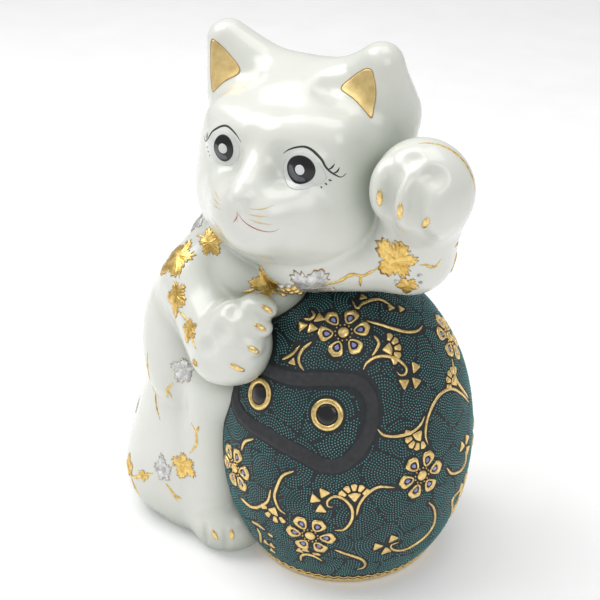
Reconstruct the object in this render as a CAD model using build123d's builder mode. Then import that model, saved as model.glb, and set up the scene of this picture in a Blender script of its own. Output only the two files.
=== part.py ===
"""Beckoning cat leaning on a round doll: a slip-cast porcelain figurine with raised gold and enamel.

The castings are hollow and are luted together: body, head, two arms, a hind leg, a tail and the doll.
Over them lie thin fired layers of enamel, gold and silver, each one a piece of its own.

Frame: origin on the table below the middle of the head, +Z up, -Y towards the front of the figure,
+X towards the doll's side. Millimetres throughout.
"""

from build123d import *
from math import acos, cos, degrees, hypot, radians, sin
import os

# ---------------------------------------------------------------- driving dimensions
WALL = 4.0  # thickness of the slip-cast wall
VENT_RADIUS = 5.0  # firing vent in the underside of the body and of the doll
PAINT = 0.3  # thickness of a painted or gilded patch on the cat
ENAMEL = 0.3  # thickness of the dotted enamel coat on the doll
GOLD = 0.5  # height of the raised gold above the enamel coat
REACH = 5.0  # how far a pattern's prism runs each way through the surface that it marks
DEEP_REACH = 8.0  # the same on the rounder surfaces of the cat

POLES_SIDEWAYS = (0, 90, 0)  # turn of the resting paw, so that the doll cuts it clear of its poles

HEAD_CENTRE = (1.5, 4, 155)
HEAD_RADIUS = 37
HEAD_STRETCH = 4  # how much wider the head is than a ball, each side
MUZZLE_CENTRE = (3, -26, 149)
MUZZLE_RADIUS = 18
EAR_ROOT = (28, 8, 178)
EAR_TIP = (33, 5, 195)
EAR_ROOT_RADIUS = 15
EAR_TIP_RADIUS = 7.5
EAR_POCKET = (28.5, -2.5, 188.5)
EAR_POCKET_TILT = radians(8)
EAR_TRIANGLE = [(2, 8), (-8, 0), (2.5, -8)]  # across and up, from the pocket's middle, for the left ear
EAR_LINING = 1.0  # thickness of the gilding and its slip, inside the pocket

NECK_OPENING = (-8, 7)
NECK_OPENING_RADIUS = 11  # way from the body's hollow into the head's, so that both dry and fire evenly
NECK = (-18, 6, 118)
WAIST = (-32, 4, 60)
NECK_RADIUS = 26
WAIST_RADIUS = 34
HIP_LOW = (-36, -1, 31)
HIP_HIGH = (-35, 0, 41)
HIP_RADIUS = 37
HIP_HIGH_RADIUS = 36
HAUNCH_CENTRE = (-48, -11, 22)
HAUNCH_RADIUS = 24

KNEE = (-25, -24, 70)
ANKLE = (-21, -27, 15)
FOOT = (-17, -29, 10)
KNEE_RADIUS = 13
ANKLE_RADIUS = 12
FOOT_RADIUS = 13

RESTING_SHOULDER = (-31, -13, 112)
RESTING_WRIST = (-12, -36, 93)
RESTING_PAW = (-3, -36, 98)
RESTING_SHOULDER_RADIUS = 16
RESTING_WRIST_RADIUS = 13.4
RESTING_PAW_RADIUS = 15.5

RAISED_SHOULDER = (6, -14, 126)
RAISED_ELBOW = (50, -3, 131)
RAISED_WRIST = (54, -9, 152)
RAISED_PAW = (55, -14, 161)
RAISED_RADIUS = 14.5
RAISED_FOREARM_RADIUS = 14.0
RAISED_PAW_RADIUS = 17.5

TAIL_ROOT = (-30, 36, 13)
TAIL_TIP = (-52, 30, 36)
TAIL_RADIUS = 9
TAIL_TIP_RADIUS = 7.5

DOLL_X, DOLL_Y = 19.5, 2
DOLL_HEIGHT = 115
DOLL_FOOT_RADIUS = 36
# radius and height along the doll's outline, from above its foot to below its crown
DOLL_OUTLINE = [(43.7, 14), (48.3, 30), (50, 46), (49, 62), (45.2, 78), (38.5, 92), (29, 104), (15.5, 112)]
BAND_HEIGHT = 4.5  # gold band round the doll's foot
DOLL_EYE_AZIMUTH = 19
DOLL_EYE_HEIGHT = 80.5
DOLL_EYE_RADIUS = 6.2
DOLL_PUPIL_RADIUS = 4.0
WINDOW_BAND = 5.5  # width of the plain dark border round the doll's face
WINDOW_CORNER = 7.0
# azimuth from the front and height of the outer corners of that border
WINDOW = [
    (-36, 93),
    (-10, 95.5),
    (14, 95.5),
    (41, 95),
    (46, 79),
    (36, 66),
    (19, 59),
    (-2, 64),
    (-23, 64),
    (-43, 72),
]

PETAL_COUNT = 6
PETAL_DISTANCE = 5.4
PETAL_SIZE = (3.1, 2.5)
JEWEL_SIZE = (1.3, 0.8)
BLOSSOM_HEART = 1.8
FAN_RADIUS = 6.0
FAN_WEDGE = (3.2, 3.6)
SCROLL_RADIUS = 8.0
SCROLL_WIDTH = 1.3
# azimuth from the front, height and turn of each pattern on the doll
BLOSSOMS = [
    (25, 105, 0),
    (62, 55, 10),
    (12, 31, 20),
    (-28, 47, 5),
    (110, 90, 0),
    (150, 60, 15),
    (105, 28, 0),
    (200, 90, 10),
]
FANS = [
    (60, 97, 40),
    (91, 81, 60),
    (57, 72, 180),
    (34, 53, 0),
    (-8, 38, 200),
    (91, 55, 20),
    (145, 88, 0),
    (135, 34, 120),
]
SCROLLS = [
    (47, 88, 20),
    (76, 72, 160),
    (48, 44, 200),
    (36, 36, 300),
    (-14, 54, 80),
    (84, 38, 30),
    (126, 72, 100),
    (165, 38, 240),
]

# the cat's face, drawn across and up on a plane that looks forwards
EYE_MIDDLE = 1.8
EYE_SPREAD = 15.2
EYE_HEIGHT = 168.5
EYE_SIZE = (8.2, 5.6)
IRIS_SIZE = (4.8, 4.8)
PUPIL_LIGHT_RADIUS = 1.5
LID_RISE = 7.2
LASH_LENGTH = 2.6
LINE_WIDTH = 0.9
MOUTH_CLEFT = (2.5, 154.5)
MOUTH_HALF_WIDTH = 9.5
MOUTH_SAG = 3.5
WHISKER_LENGTH = 6.0
WHISKER_OFFSET = 10.0
WHISKER_STEP = 2.6

CLAW_SIZE = (2.8, 0.9)
# point and azimuth that each gilded claw faces
RESTING_CLAWS = [((7, -39, 111), 20), ((9, -43, 106), 25), ((8, -46, 101), 20), ((3, -50, 96), 0)]
RAISED_CLAWS = [((45.5, -27, 158), -20), ((54.6, -31, 156), 0), ((63, -29, 157), 20)]
FOOT_CLAWS = [((-14, -42, 10.5), 5), ((-7, -38, 11), 35)]

# the casting that each leaf lies on, then point, azimuth that the leaf faces, size and turn
GOLD_LEAVES = {
    "resting_arm": [
        ((-26, -21, 121), 15, 5.0, 20),
        ((-40, -24, 112), -35, 6.0, 80),
        ((-31, -33, 104), -15, 5.0, 130),
        ((-18, -45, 98), -15, 4.0, 170),
    ],
    "body": [((-60, -33, 24), -30, 5.0, 250), ((-68, 24, 56), -125, 7.0, 0), ((-27, 32, 98), 180, 6.0, 60)],
    "leg": [((-25, -38, 40), -5, 4.5, 10)],
    "raised_arm": [((52, -17, 133), 10, 7.0, 200)],
}
SILVER_LEAVES = {
    "body": [((-52, -26, 58), -50, 5.0, 40), ((-50, 20, 90), -125, 6.0, 60)],
    "leg": [((-28, -38, 66), -10, 4.5, 300)],
    "raised_arm": [((20, -27, 124), 15, 6.0, 100)],
}
# the casting, then point, azimuth, radius and turn of the arched stems between the leaves
VINE_STEMS = {
    "raised_arm": [((36, -25, 122), 10, 8.0, 10)],
    "leg": [((-23, -38, 22), 0, 6.0, 260)],
    "body": [((-56, 24, 74), -130, 9.0, 40)],
}
BERRY_RADIUS = 1.3
BERRIES = [(8, -28, 120), (10.5, -28.5, 118), (13, -28, 120), (5.5, -27.5, 118), (8, -28, 116), (13, -28, 116)]


# ---------------------------------------------------------------- plain solids
def axis_plane(start, end):
    """A plane at start whose x axis runs to end."""
    direction = Vector(*end) - Vector(*start)
    upright = abs(direction.Z) > 0.95 * direction.length
    sideways = Vector(1, 0, 0) if upright else Vector(0, 0, 1)
    return Plane(origin=start, x_dir=direction, z_dir=direction.cross(sideways))


def tapered_limb(start, end, start_radius, end_radius):
    """Two balls and the cone that touches both, turned as one solid."""
    length = (Vector(*end) - Vector(*start)).length
    touch = degrees(acos((start_radius - end_radius) / length))
    plane = axis_plane(start, end)
    with BuildPart() as limb:
        with BuildSketch(plane):
            with BuildLine():
                start_arc = CenterArc((0, 0), start_radius, touch, 180 - touch)
                end_arc = CenterArc((length, 0), end_radius, 0, touch)
                Line(start_arc @ 0, end_arc @ 1)
                Line(start_arc @ 1, end_arc @ 0)
            make_face()
        revolve(axis=Axis(plane.origin, plane.x_dir))
    return limb.part


def ball(centre, radius, turn=(0, 0, 0)):
    """A sphere about a point, turned so that its poles and seam lie clear of every cut."""
    with BuildPart() as sphere:
        with Locations(centre):
            Sphere(radius, rotation=turn)
    return sphere.part


def joined(*solids):
    """The solids as one part, cut flat at the table."""
    with BuildPart() as whole:
        for solid in solids:
            add(solid)
        split(bisect_by=Plane.XY, keep=Keep.TOP)
    return whole.part


# ---------------------------------------------------------------- outer forms, which can be grown or shrunk
def ear_point(point, side):
    """A point of the left (side 1) or right (side -1) ear."""
    return (HEAD_CENTRE[0] - 1 + side * point[0], point[1], point[2])


def cranium_form(grow=0.0):
    """The ball of the head, a little wider than it is high."""
    middle, back, height = HEAD_CENTRE
    ends = [(middle + side * HEAD_STRETCH, back, height) for side in (-1, 1)]
    return tapered_limb(*ends, HEAD_RADIUS + grow, HEAD_RADIUS + grow)


def head_form(grow=0.0):
    """The head with its muzzle and ears."""
    ears = []
    for side in (-1, 1):
        root, tip = ear_point(EAR_ROOT, side), ear_point(EAR_TIP, side)
        ears.append(tapered_limb(root, tip, EAR_ROOT_RADIUS + grow, EAR_TIP_RADIUS + grow))
    return joined(cranium_form(grow), ball(MUZZLE_CENTRE, MUZZLE_RADIUS + grow), *ears)


def body_form(grow=0.0):
    """The sitting body from neck to haunch."""
    return joined(
        tapered_limb(NECK, WAIST, NECK_RADIUS + grow, WAIST_RADIUS + grow),
        tapered_limb(HIP_LOW, HIP_HIGH, HIP_RADIUS + grow, HIP_HIGH_RADIUS + grow),
        ball(HAUNCH_CENTRE, HAUNCH_RADIUS + grow),
    )


def leg_form(grow=0.0):
    """The right hind leg, knee up, with its foot."""
    return joined(
        tapered_limb(KNEE, ANKLE, KNEE_RADIUS + grow, ANKLE_RADIUS + grow),
        ball(FOOT, FOOT_RADIUS + grow),
    )


def resting_arm_form(grow=0.0):
    """The right arm, whose paw rests on the doll."""
    return joined(
        tapered_limb(
            RESTING_SHOULDER,
            RESTING_WRIST,
            RESTING_SHOULDER_RADIUS + grow,
            RESTING_WRIST_RADIUS + grow,
        ),
        ball(RESTING_PAW, RESTING_PAW_RADIUS + grow, POLES_SIDEWAYS),
    )


def raised_arm_form(grow=0.0):
    """The left arm, which lies over the doll's crown and lifts its paw beside the cheek."""
    return joined(
        tapered_limb(RAISED_SHOULDER, RAISED_ELBOW, RAISED_RADIUS + grow, RAISED_RADIUS + grow),
        tapered_limb(RAISED_ELBOW, RAISED_WRIST, RAISED_FOREARM_RADIUS + grow, RAISED_FOREARM_RADIUS + grow),
        ball(RAISED_PAW, RAISED_PAW_RADIUS + grow),
    )


def doll_outline(grow):
    """The doll's outline from foot to crown, as radius and height, moved outwards by grow."""
    points = [(DOLL_FOOT_RADIUS, 0), *DOLL_OUTLINE, (0, DOLL_HEIGHT)]
    before = [(DOLL_FOOT_RADIUS - 1, -1), *points[:-1]]
    after = [*points[1:], (-points[-2][0], points[-2][1])]
    moved = []
    for (radius, height), (low_radius, low), (high_radius, high) in zip(points, before, after):
        run = hypot(high_radius - low_radius, high - low)
        moved.append((radius + grow * (high - low) / run, height - grow * (high_radius - low_radius) / run))
    return moved


def doll_form(grow=0.0):
    """The doll as a turned solid whose outline is moved outwards by grow."""
    foot, *side = doll_outline(grow)
    crown = side[-1]
    with BuildPart() as doll:
        with BuildSketch(Plane(origin=(DOLL_X, DOLL_Y, 0), x_dir=(1, 0, 0), z_dir=(0, -1, 0))):
            with BuildLine():
                Line((0, foot[1]), foot)
                Spline(foot, *side, tangents=[(1, 1), (-1, 0)])
                Line(crown, (0, foot[1]))
            make_face()
        revolve(axis=Axis((DOLL_X, DOLL_Y, 0), (0, 0, 1)))
        split(bisect_by=Plane.XY, keep=Keep.TOP)
    return doll.part


# ---------------------------------------------------------------- planes that patterns are drawn on
def doll_radius(height):
    """The doll's radius at a height, and the slope of its side there."""
    ends = [(DOLL_FOOT_RADIUS, 0), *DOLL_OUTLINE, (0, DOLL_HEIGHT)]
    for (low_radius, low), (high_radius, high) in zip(ends[:-1], ends[1:]):
        if low <= height <= high:
            slope = (high_radius - low_radius) / (high - low)
            return low_radius + slope * (height - low), slope
    raise ValueError("no such height on the doll")


def doll_plane(azimuth, height, turn=0):
    """A plane that touches the doll, with its x axis to the right as seen from outside."""
    radius, slope = doll_radius(height)
    out_x, out_y = sin(radians(azimuth)), -cos(radians(azimuth))
    touch = (DOLL_X + radius * out_x, DOLL_Y + radius * out_y, height)
    return Plane(origin=touch, x_dir=(-out_y, out_x, 0), z_dir=(out_x, out_y, -slope)).rotated((0, 0, turn))


def facing_plane(point, azimuth, turn=0):
    """An upright plane at a point of the cat, facing an azimuth from the front."""
    out_x, out_y = sin(radians(azimuth)), -cos(radians(azimuth))
    return Plane(origin=point, x_dir=(-out_y, out_x, 0), z_dir=(out_x, out_y, 0)).rotated((0, 0, turn))


def ear_pocket_plane(side):
    """The plane of an ear's gilded inside, which faces forwards and a little up."""
    facing = (0, -cos(EAR_POCKET_TILT), sin(EAR_POCKET_TILT))
    return Plane(origin=ear_point(EAR_POCKET, side), x_dir=(1, 0, 0), z_dir=facing)


# ---------------------------------------------------------------- export
def finish(builder, name):
    """Labels a finished sub-part and writes it."""
    builder.part.label = name
    os.makedirs("parts", exist_ok=True)
    export_step(builder.part, f"parts/{name}.step")


# ---------------------------------------------------------------- castings
HEAD = head_form()
BODY = body_form()
LEG = leg_form()
RESTING_ARM = resting_arm_form()
RAISED_ARM = raised_arm_form()
DOLL = doll_form()

body_room = body_form(-WALL)
doll_clearance = doll_form(WALL)
with BuildPart() as body_hollow:
    add(body_room)
    add(doll_clearance, mode=Mode.SUBTRACT)
    split(bisect_by=Plane.XY.offset(WALL), keep=Keep.TOP)

with BuildPart() as cat_body:
    add(BODY)
    add(body_hollow.part, mode=Mode.SUBTRACT)
    for neighbour in (HEAD, DOLL):
        add(neighbour, mode=Mode.SUBTRACT)
    with Locations((HIP_LOW[0], HIP_LOW[1], 0)):
        Cylinder(VENT_RADIUS, 3 * WALL, mode=Mode.SUBTRACT)
finish(cat_body, "cat_body")

head_room = cranium_form(-WALL)
with BuildPart() as cat_head:
    add(HEAD)
    add(head_room, mode=Mode.SUBTRACT)
    with BuildSketch(Plane.XY.offset(HEAD_CENTRE[2])):
        with Locations(NECK_OPENING):
            Circle(NECK_OPENING_RADIUS)
    extrude(amount=-2 * HEAD_RADIUS, mode=Mode.SUBTRACT)
    for side in (-1, 1):
        with BuildSketch(ear_pocket_plane(side)):
            Polygon(*[(side * across, up) for across, up in EAR_TRIANGLE], align=None)
        extrude(amount=DEEP_REACH, mode=Mode.SUBTRACT)
finish(cat_head, "cat_head")

with BuildPart() as hind_leg:
    add(LEG)
    for neighbour in (BODY, DOLL):
        add(neighbour, mode=Mode.SUBTRACT)
finish(hind_leg, "hind_leg")

with BuildPart() as resting_arm:
    add(RESTING_ARM)
    for neighbour in (BODY, HEAD, DOLL, LEG):
        add(neighbour, mode=Mode.SUBTRACT)
finish(resting_arm, "resting_arm")

with BuildPart() as raised_arm:
    add(RAISED_ARM)
    for neighbour in (BODY, HEAD, DOLL, RESTING_ARM):
        add(neighbour, mode=Mode.SUBTRACT)
finish(raised_arm, "raised_arm")

tail_limb = tapered_limb(TAIL_ROOT, TAIL_TIP, TAIL_RADIUS, TAIL_TIP_RADIUS)
with BuildPart() as cat_tail:
    add(tail_limb)
    add(BODY, mode=Mode.SUBTRACT)
finish(cat_tail, "cat_tail")

doll_room = doll_form(-WALL)
with BuildPart() as doll_shell:
    add(DOLL)
    add(doll_room, mode=Mode.SUBTRACT)
    with Locations((DOLL_X, DOLL_Y, 0)):
        Cylinder(VENT_RADIUS, 3 * WALL, mode=Mode.SUBTRACT)
finish(doll_shell, "doll_shell")

# ---------------------------------------------------------------- fired layers on the doll
BARE_DOLL = doll_form(ENAMEL)
GILDED_DOLL = doll_form(ENAMEL + GOLD)
CAT_FORMS = (BODY, HEAD, LEG, RESTING_ARM, RAISED_ARM)

with BuildPart() as coat_layer:
    add(BARE_DOLL)
    add(DOLL, mode=Mode.SUBTRACT)
    for neighbour in CAT_FORMS:
        add(neighbour, mode=Mode.SUBTRACT)

with BuildPart() as gold_layer:
    add(GILDED_DOLL)
    add(BARE_DOLL, mode=Mode.SUBTRACT)
    for neighbour in CAT_FORMS:
        add(neighbour, mode=Mode.SUBTRACT)

with BuildPart() as window_prism:
    with BuildSketch(Plane(origin=(0, DOLL_Y, 0), x_dir=(1, 0, 0), z_dir=(0, -1, 0))) as window:
        Polygon(*[(doll_plane(azimuth, height).origin.X, height) for azimuth, height in WINDOW], align=None)
        fillet(window.vertices(), radius=WINDOW_CORNER)
        offset(amount=-WINDOW_BAND, mode=Mode.SUBTRACT)
    extrude(amount=2 * DOLL_FOOT_RADIUS)

with BuildPart() as eye_prisms:
    for side in (-1, 1):
        with BuildSketch(doll_plane(side * DOLL_EYE_AZIMUTH, DOLL_EYE_HEIGHT)):
            Circle(DOLL_EYE_RADIUS)
        extrude(amount=REACH, both=True)

with BuildPart() as pupil_prisms:
    for side in (-1, 1):
        with BuildSketch(doll_plane(side * DOLL_EYE_AZIMUTH, DOLL_EYE_HEIGHT)):
            Circle(DOLL_PUPIL_RADIUS)
        extrude(amount=REACH, both=True)

with BuildPart() as blossom_prisms:
    for azimuth, height, turn in BLOSSOMS:
        with BuildSketch(doll_plane(azimuth, height, turn)):
            Circle(BLOSSOM_HEART)
            with PolarLocations(PETAL_DISTANCE, PETAL_COUNT):
                Ellipse(*PETAL_SIZE)
        extrude(amount=REACH, both=True)

with BuildPart() as jewel_prisms:
    for azimuth, height, turn in BLOSSOMS:
        with BuildSketch(doll_plane(azimuth, height, turn)):
            with PolarLocations(PETAL_DISTANCE, PETAL_COUNT):
                Ellipse(*JEWEL_SIZE)
        extrude(amount=REACH, both=True)

with BuildPart() as fan_prisms:
    for azimuth, height, turn in FANS:
        with BuildSketch(doll_plane(azimuth, height, turn)):
            with PolarLocations(FAN_RADIUS, 5, start_angle=0, angular_range=180):
                RegularPolygon(FAN_WEDGE[0] / 2, 3, rotation=180)
            RegularPolygon(FAN_WEDGE[1] / 2, 3, rotation=-90)
        extrude(amount=REACH, both=True)

with BuildPart() as scroll_prisms:
    for azimuth, height, turn in SCROLLS:
        with BuildSketch(doll_plane(azimuth, height, turn)):
            with BuildLine():
                hook = CenterArc((0, 0), SCROLL_RADIUS / 2, 0, 230)
                JernArc(hook @ 0, -(hook % 0), SCROLL_RADIUS, 100)
            trace(line_width=SCROLL_WIDTH)
        extrude(amount=REACH, both=True)

with BuildPart() as dot_enamel_coat:
    add(coat_layer.part)
    add(window_prism.part, mode=Mode.SUBTRACT)
    add(eye_prisms.part, mode=Mode.SUBTRACT)
finish(dot_enamel_coat, "dot_enamel_coat")

with BuildPart() as face_window_band:
    add(coat_layer.part)
    add(window_prism.part, mode=Mode.INTERSECT)
finish(face_window_band, "face_window_band")

with BuildPart() as doll_eye_rings:
    add(GILDED_DOLL)
    add(DOLL, mode=Mode.SUBTRACT)
    add(eye_prisms.part, mode=Mode.INTERSECT)
    add(pupil_prisms.part, mode=Mode.SUBTRACT)
finish(doll_eye_rings, "doll_eye_rings")

with BuildPart() as doll_pupils:
    add(GILDED_DOLL)
    add(DOLL, mode=Mode.SUBTRACT)
    add(pupil_prisms.part, mode=Mode.INTERSECT)
finish(doll_pupils, "doll_pupils")

with BuildPart() as base_gold_band:
    add(gold_layer.part)
    split(bisect_by=Plane.XY.offset(BAND_HEIGHT), keep=Keep.BOTTOM)
finish(base_gold_band, "base_gold_band")

with BuildPart() as blossoms:
    add(gold_layer.part)
    add(blossom_prisms.part, mode=Mode.INTERSECT)
    add(jewel_prisms.part, mode=Mode.SUBTRACT)
finish(blossoms, "blossoms")

with BuildPart() as blossom_jewels:
    add(gold_layer.part)
    add(jewel_prisms.part, mode=Mode.INTERSECT)
finish(blossom_jewels, "blossom_jewels")

with BuildPart() as fan_leaves:
    add(gold_layer.part)
    add(fan_prisms.part, mode=Mode.INTERSECT)
    add(blossom_prisms.part, mode=Mode.SUBTRACT)
finish(fan_leaves, "fan_leaves")

with BuildPart() as scroll_stems:
    add(gold_layer.part)
    add(scroll_prisms.part, mode=Mode.INTERSECT)
    for neighbour in (blossom_prisms.part, fan_prisms.part, eye_prisms.part):
        add(neighbour, mode=Mode.SUBTRACT)
finish(scroll_stems, "scroll_stems")

# ---------------------------------------------------------------- paint, gold and silver on the cat
FACE_PLANE = Plane(origin=(0, 0, 0), x_dir=(1, 0, 0), z_dir=(0, -1, 0))
FACE_DEPTH = 60

FORMS = {
    "head": head_form,
    "body": body_form,
    "leg": leg_form,
    "resting_arm": resting_arm_form,
    "raised_arm": raised_arm_form,
}


def patch(prisms, surface):
    """What the prisms mark in a thin layer over one casting, clear of every other piece."""
    with BuildPart() as layer:
        add(FORMS[surface](PAINT))
        add(prisms, mode=Mode.INTERSECT)
        for neighbour in (*CAT_FORMS, GILDED_DOLL):
            add(neighbour, mode=Mode.SUBTRACT)
    return layer.part


def eye_places():
    """The middles of the cat's two eyes on the face plane."""
    return Locations(*[(EYE_MIDDLE + side * EYE_SPREAD, EYE_HEIGHT) for side in (-1, 1)])


with BuildPart() as iris_prisms:
    with BuildSketch(FACE_PLANE):
        with eye_places():
            Ellipse(*IRIS_SIZE)
    extrude(amount=FACE_DEPTH)

with BuildPart() as light_prisms:
    with BuildSketch(FACE_PLANE):
        with eye_places():
            Circle(PUPIL_LIGHT_RADIUS)
    extrude(amount=FACE_DEPTH)

with BuildPart() as white_prisms:
    with BuildSketch(FACE_PLANE):
        with eye_places():
            Ellipse(*EYE_SIZE)
            Ellipse(*IRIS_SIZE, mode=Mode.SUBTRACT)
    extrude(amount=FACE_DEPTH)

with BuildPart() as cat_eye_whites:
    add(patch(white_prisms.part, "head"))
finish(cat_eye_whites, "cat_eye_whites")

with BuildPart() as cat_irises:
    add(patch(iris_prisms.part, "head"))
    add(light_prisms.part, mode=Mode.SUBTRACT)
finish(cat_irises, "cat_irises")

with BuildPart() as pupil_lights:
    add(patch(light_prisms.part, "head"))
finish(pupil_lights, "pupil_lights")

with BuildPart() as lid_prisms:
    with BuildSketch(FACE_PLANE):
        for side in (-1, 1):
            middle = EYE_MIDDLE + side * EYE_SPREAD
            inner = (middle - side * (EYE_SIZE[0] + LINE_WIDTH), EYE_HEIGHT)
            outer = (middle + side * (EYE_SIZE[0] + 2 * LINE_WIDTH), EYE_HEIGHT + LID_RISE / 3)
            with BuildLine():
                ThreePointArc(inner, (middle, EYE_HEIGHT + LID_RISE), outer)
            trace(line_width=LINE_WIDTH)
    extrude(amount=FACE_DEPTH)

with BuildPart() as eyelid_lines:
    add(patch(lid_prisms.part, "head"))
finish(eyelid_lines, "eyelid_lines")

with BuildPart() as lash_prisms:
    with BuildSketch(FACE_PLANE):
        for side in (-1, 1):
            for rank in (-1, 0, 1):
                across = EYE_MIDDLE + side * (EYE_SPREAD + LASH_LENGTH * (1.5 + 0.6 * rank))
                with Locations(Location((across, EYE_HEIGHT - EYE_SIZE[1] - 2.2, 0), 90 + side * 25)):
                    SlotOverall(LASH_LENGTH, LINE_WIDTH)
    extrude(amount=FACE_DEPTH)

with BuildPart() as lower_lashes:
    add(patch(lash_prisms.part, "head"))
finish(lower_lashes, "lower_lashes")

with BuildPart() as mouth_prism:
    with BuildSketch(FACE_PLANE):
        with BuildLine():
            for side in (-1, 1):
                corner = (MOUTH_CLEFT[0] + side * MOUTH_HALF_WIDTH, MOUTH_CLEFT[1] - 2)
                sag = (MOUTH_CLEFT[0] + side * MOUTH_HALF_WIDTH / 2, MOUTH_CLEFT[1] - MOUTH_SAG)
                ThreePointArc(MOUTH_CLEFT, sag, corner)
        trace(line_width=LINE_WIDTH)
    extrude(amount=FACE_DEPTH)

with BuildPart() as mouth_line:
    add(patch(mouth_prism.part, "head"))
finish(mouth_line, "mouth_line")

with BuildPart() as whisker_prisms:
    with BuildSketch(FACE_PLANE):
        for side in (-1, 1):
            for rank in (0, 1, 2):
                across = MOUTH_CLEFT[0] + side * (WHISKER_OFFSET + rank)
                up = MOUTH_CLEFT[1] + rank * WHISKER_STEP
                with Locations(Location((across, up, 0), side * 12 * (rank + 1))):
                    SlotOverall(WHISKER_LENGTH, LINE_WIDTH)
    extrude(amount=FACE_DEPTH)

with BuildPart() as whiskers:
    add(patch(whisker_prisms.part, "head"))
finish(whiskers, "whiskers")

for side, name in ((-1, "ear_lining_right"), (1, "ear_lining_left")):
    with BuildPart() as ear_lining:
        with BuildSketch(ear_pocket_plane(side)):
            Polygon(*[(side * across, up) for across, up in EAR_TRIANGLE], align=None)
        extrude(amount=EAR_LINING)
        add(HEAD, mode=Mode.INTERSECT)
    finish(ear_lining, name)

for claws, surface, name in (
    (RESTING_CLAWS, "resting_arm", "resting_paw_claws"),
    (RAISED_CLAWS, "raised_arm", "raised_paw_claws"),
    (FOOT_CLAWS, "leg", "hind_foot_claws"),
):
    with BuildPart() as claw_prisms:
        for point, azimuth in claws:
            with BuildSketch(facing_plane(point, azimuth)):
                Ellipse(*CLAW_SIZE)
            extrude(amount=REACH, both=True)
    with BuildPart() as paw_claws:
        add(patch(claw_prisms.part, surface))
    finish(paw_claws, name)


def leaf_prisms(leaves):
    """Five-lobed leaves as prisms through the surface that they lie on."""
    with BuildPart() as prisms:
        for point, azimuth, size, turn in leaves:
            with BuildSketch(facing_plane(point, azimuth, turn)):
                Circle(size / 3)
                with PolarLocations(size / 2, 5):
                    Ellipse(size / 2, size / 4)
            extrude(amount=DEEP_REACH, both=True)
    return prisms.part


def stem_prisms(stems):
    """Arched stems as prisms through the surface that they lie on."""
    with BuildPart() as prisms:
        for point, azimuth, radius, turn in stems:
            with BuildSketch(facing_plane(point, azimuth, turn)):
                with BuildLine():
                    CenterArc((0, 0), radius, 30, 120)
                trace(line_width=LINE_WIDTH)
            extrude(amount=DEEP_REACH, both=True)
    return prisms.part


for sprays, draw, name in (
    (GOLD_LEAVES, leaf_prisms, "gold_leaves"),
    (SILVER_LEAVES, leaf_prisms, "silver_leaves"),
    (VINE_STEMS, stem_prisms, "vine_stems"),
):
    with BuildPart() as spray:
        for surface, places in sprays.items():
            add(patch(draw(places), surface))
    finish(spray, name)

with BuildPart() as grape_berries:
    with Locations(*BERRIES):
        Sphere(BERRY_RADIUS)
    for neighbour in (*CAT_FORMS, GILDED_DOLL):
        add(neighbour, mode=Mode.SUBTRACT)
finish(grape_berries, "grape_berries")
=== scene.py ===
import math

import bpy
import numpy as np
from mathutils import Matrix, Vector


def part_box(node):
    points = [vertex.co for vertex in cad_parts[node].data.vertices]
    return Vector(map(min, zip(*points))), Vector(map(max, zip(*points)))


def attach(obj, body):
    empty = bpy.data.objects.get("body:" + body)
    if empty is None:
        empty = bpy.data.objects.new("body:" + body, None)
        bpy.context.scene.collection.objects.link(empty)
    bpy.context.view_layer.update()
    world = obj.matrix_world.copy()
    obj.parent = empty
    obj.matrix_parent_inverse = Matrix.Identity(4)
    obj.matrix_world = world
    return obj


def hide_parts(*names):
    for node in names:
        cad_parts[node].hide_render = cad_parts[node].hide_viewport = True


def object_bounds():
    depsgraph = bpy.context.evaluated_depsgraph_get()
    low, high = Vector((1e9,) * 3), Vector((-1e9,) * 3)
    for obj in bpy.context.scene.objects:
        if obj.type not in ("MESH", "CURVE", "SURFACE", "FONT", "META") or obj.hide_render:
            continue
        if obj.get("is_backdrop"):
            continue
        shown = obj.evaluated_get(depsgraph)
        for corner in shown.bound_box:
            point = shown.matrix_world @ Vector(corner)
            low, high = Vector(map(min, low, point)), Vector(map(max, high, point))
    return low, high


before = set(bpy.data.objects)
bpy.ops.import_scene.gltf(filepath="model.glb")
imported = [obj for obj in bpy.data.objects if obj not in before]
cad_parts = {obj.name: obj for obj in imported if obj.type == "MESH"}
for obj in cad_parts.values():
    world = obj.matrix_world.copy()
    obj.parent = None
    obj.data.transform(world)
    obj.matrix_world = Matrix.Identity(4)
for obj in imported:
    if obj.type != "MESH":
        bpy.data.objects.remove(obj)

CAD_BOX = [list(corner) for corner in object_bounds()]
MM = 0.001
FAR = 1e6
TINY = 1e-9


# ---- places taken from the frame
def box_centre(node):
    """The middle of a node's box, in millimetres."""
    low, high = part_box(node)
    return (np.array(low) + np.array(high)) / 2 / MM


SAME_PLACE = 0.5


def shift_of(node, drawn_centre):
    """How far a node stands from where its shapes are drawn below; less than SAME_PLACE is no shift."""
    shift = box_centre(node) - np.array(drawn_centre)
    return np.where(np.abs(shift) < SAME_PLACE, 0.0, shift).astype(np.float32)


DOLL_X, DOLL_Y = box_centre("doll_shell")[:2]
DOLL_HEIGHT = (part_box("doll_shell")[1][2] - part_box("doll_shell")[0][2]) / MM
HEAD_SHIFT = shift_of("cat_head", (0.5, -1.5, 160.25))
BODY_SHIFT = shift_of("cat_body", (-32.5, 0.0, 68.8))
RAISED_SHIFT = shift_of("raised_arm", (32.2, -10.0, 145.0))
RESTING_SHIFT = shift_of("resting_arm", (-17.25, -28.3, 103.8))


# ---- distance fields, in millimetres
def ellipsoid(p, centre, radii):
    """Approximate signed distance to an ellipsoid."""
    q = p - np.array(centre, np.float32)
    r = np.array(radii, np.float32)
    k0 = np.linalg.norm(q / r, axis=1)
    k1 = np.linalg.norm(q / (r * r), axis=1)
    return k0 * (k0 - 1) / np.maximum(k1, 1e-6)


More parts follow.
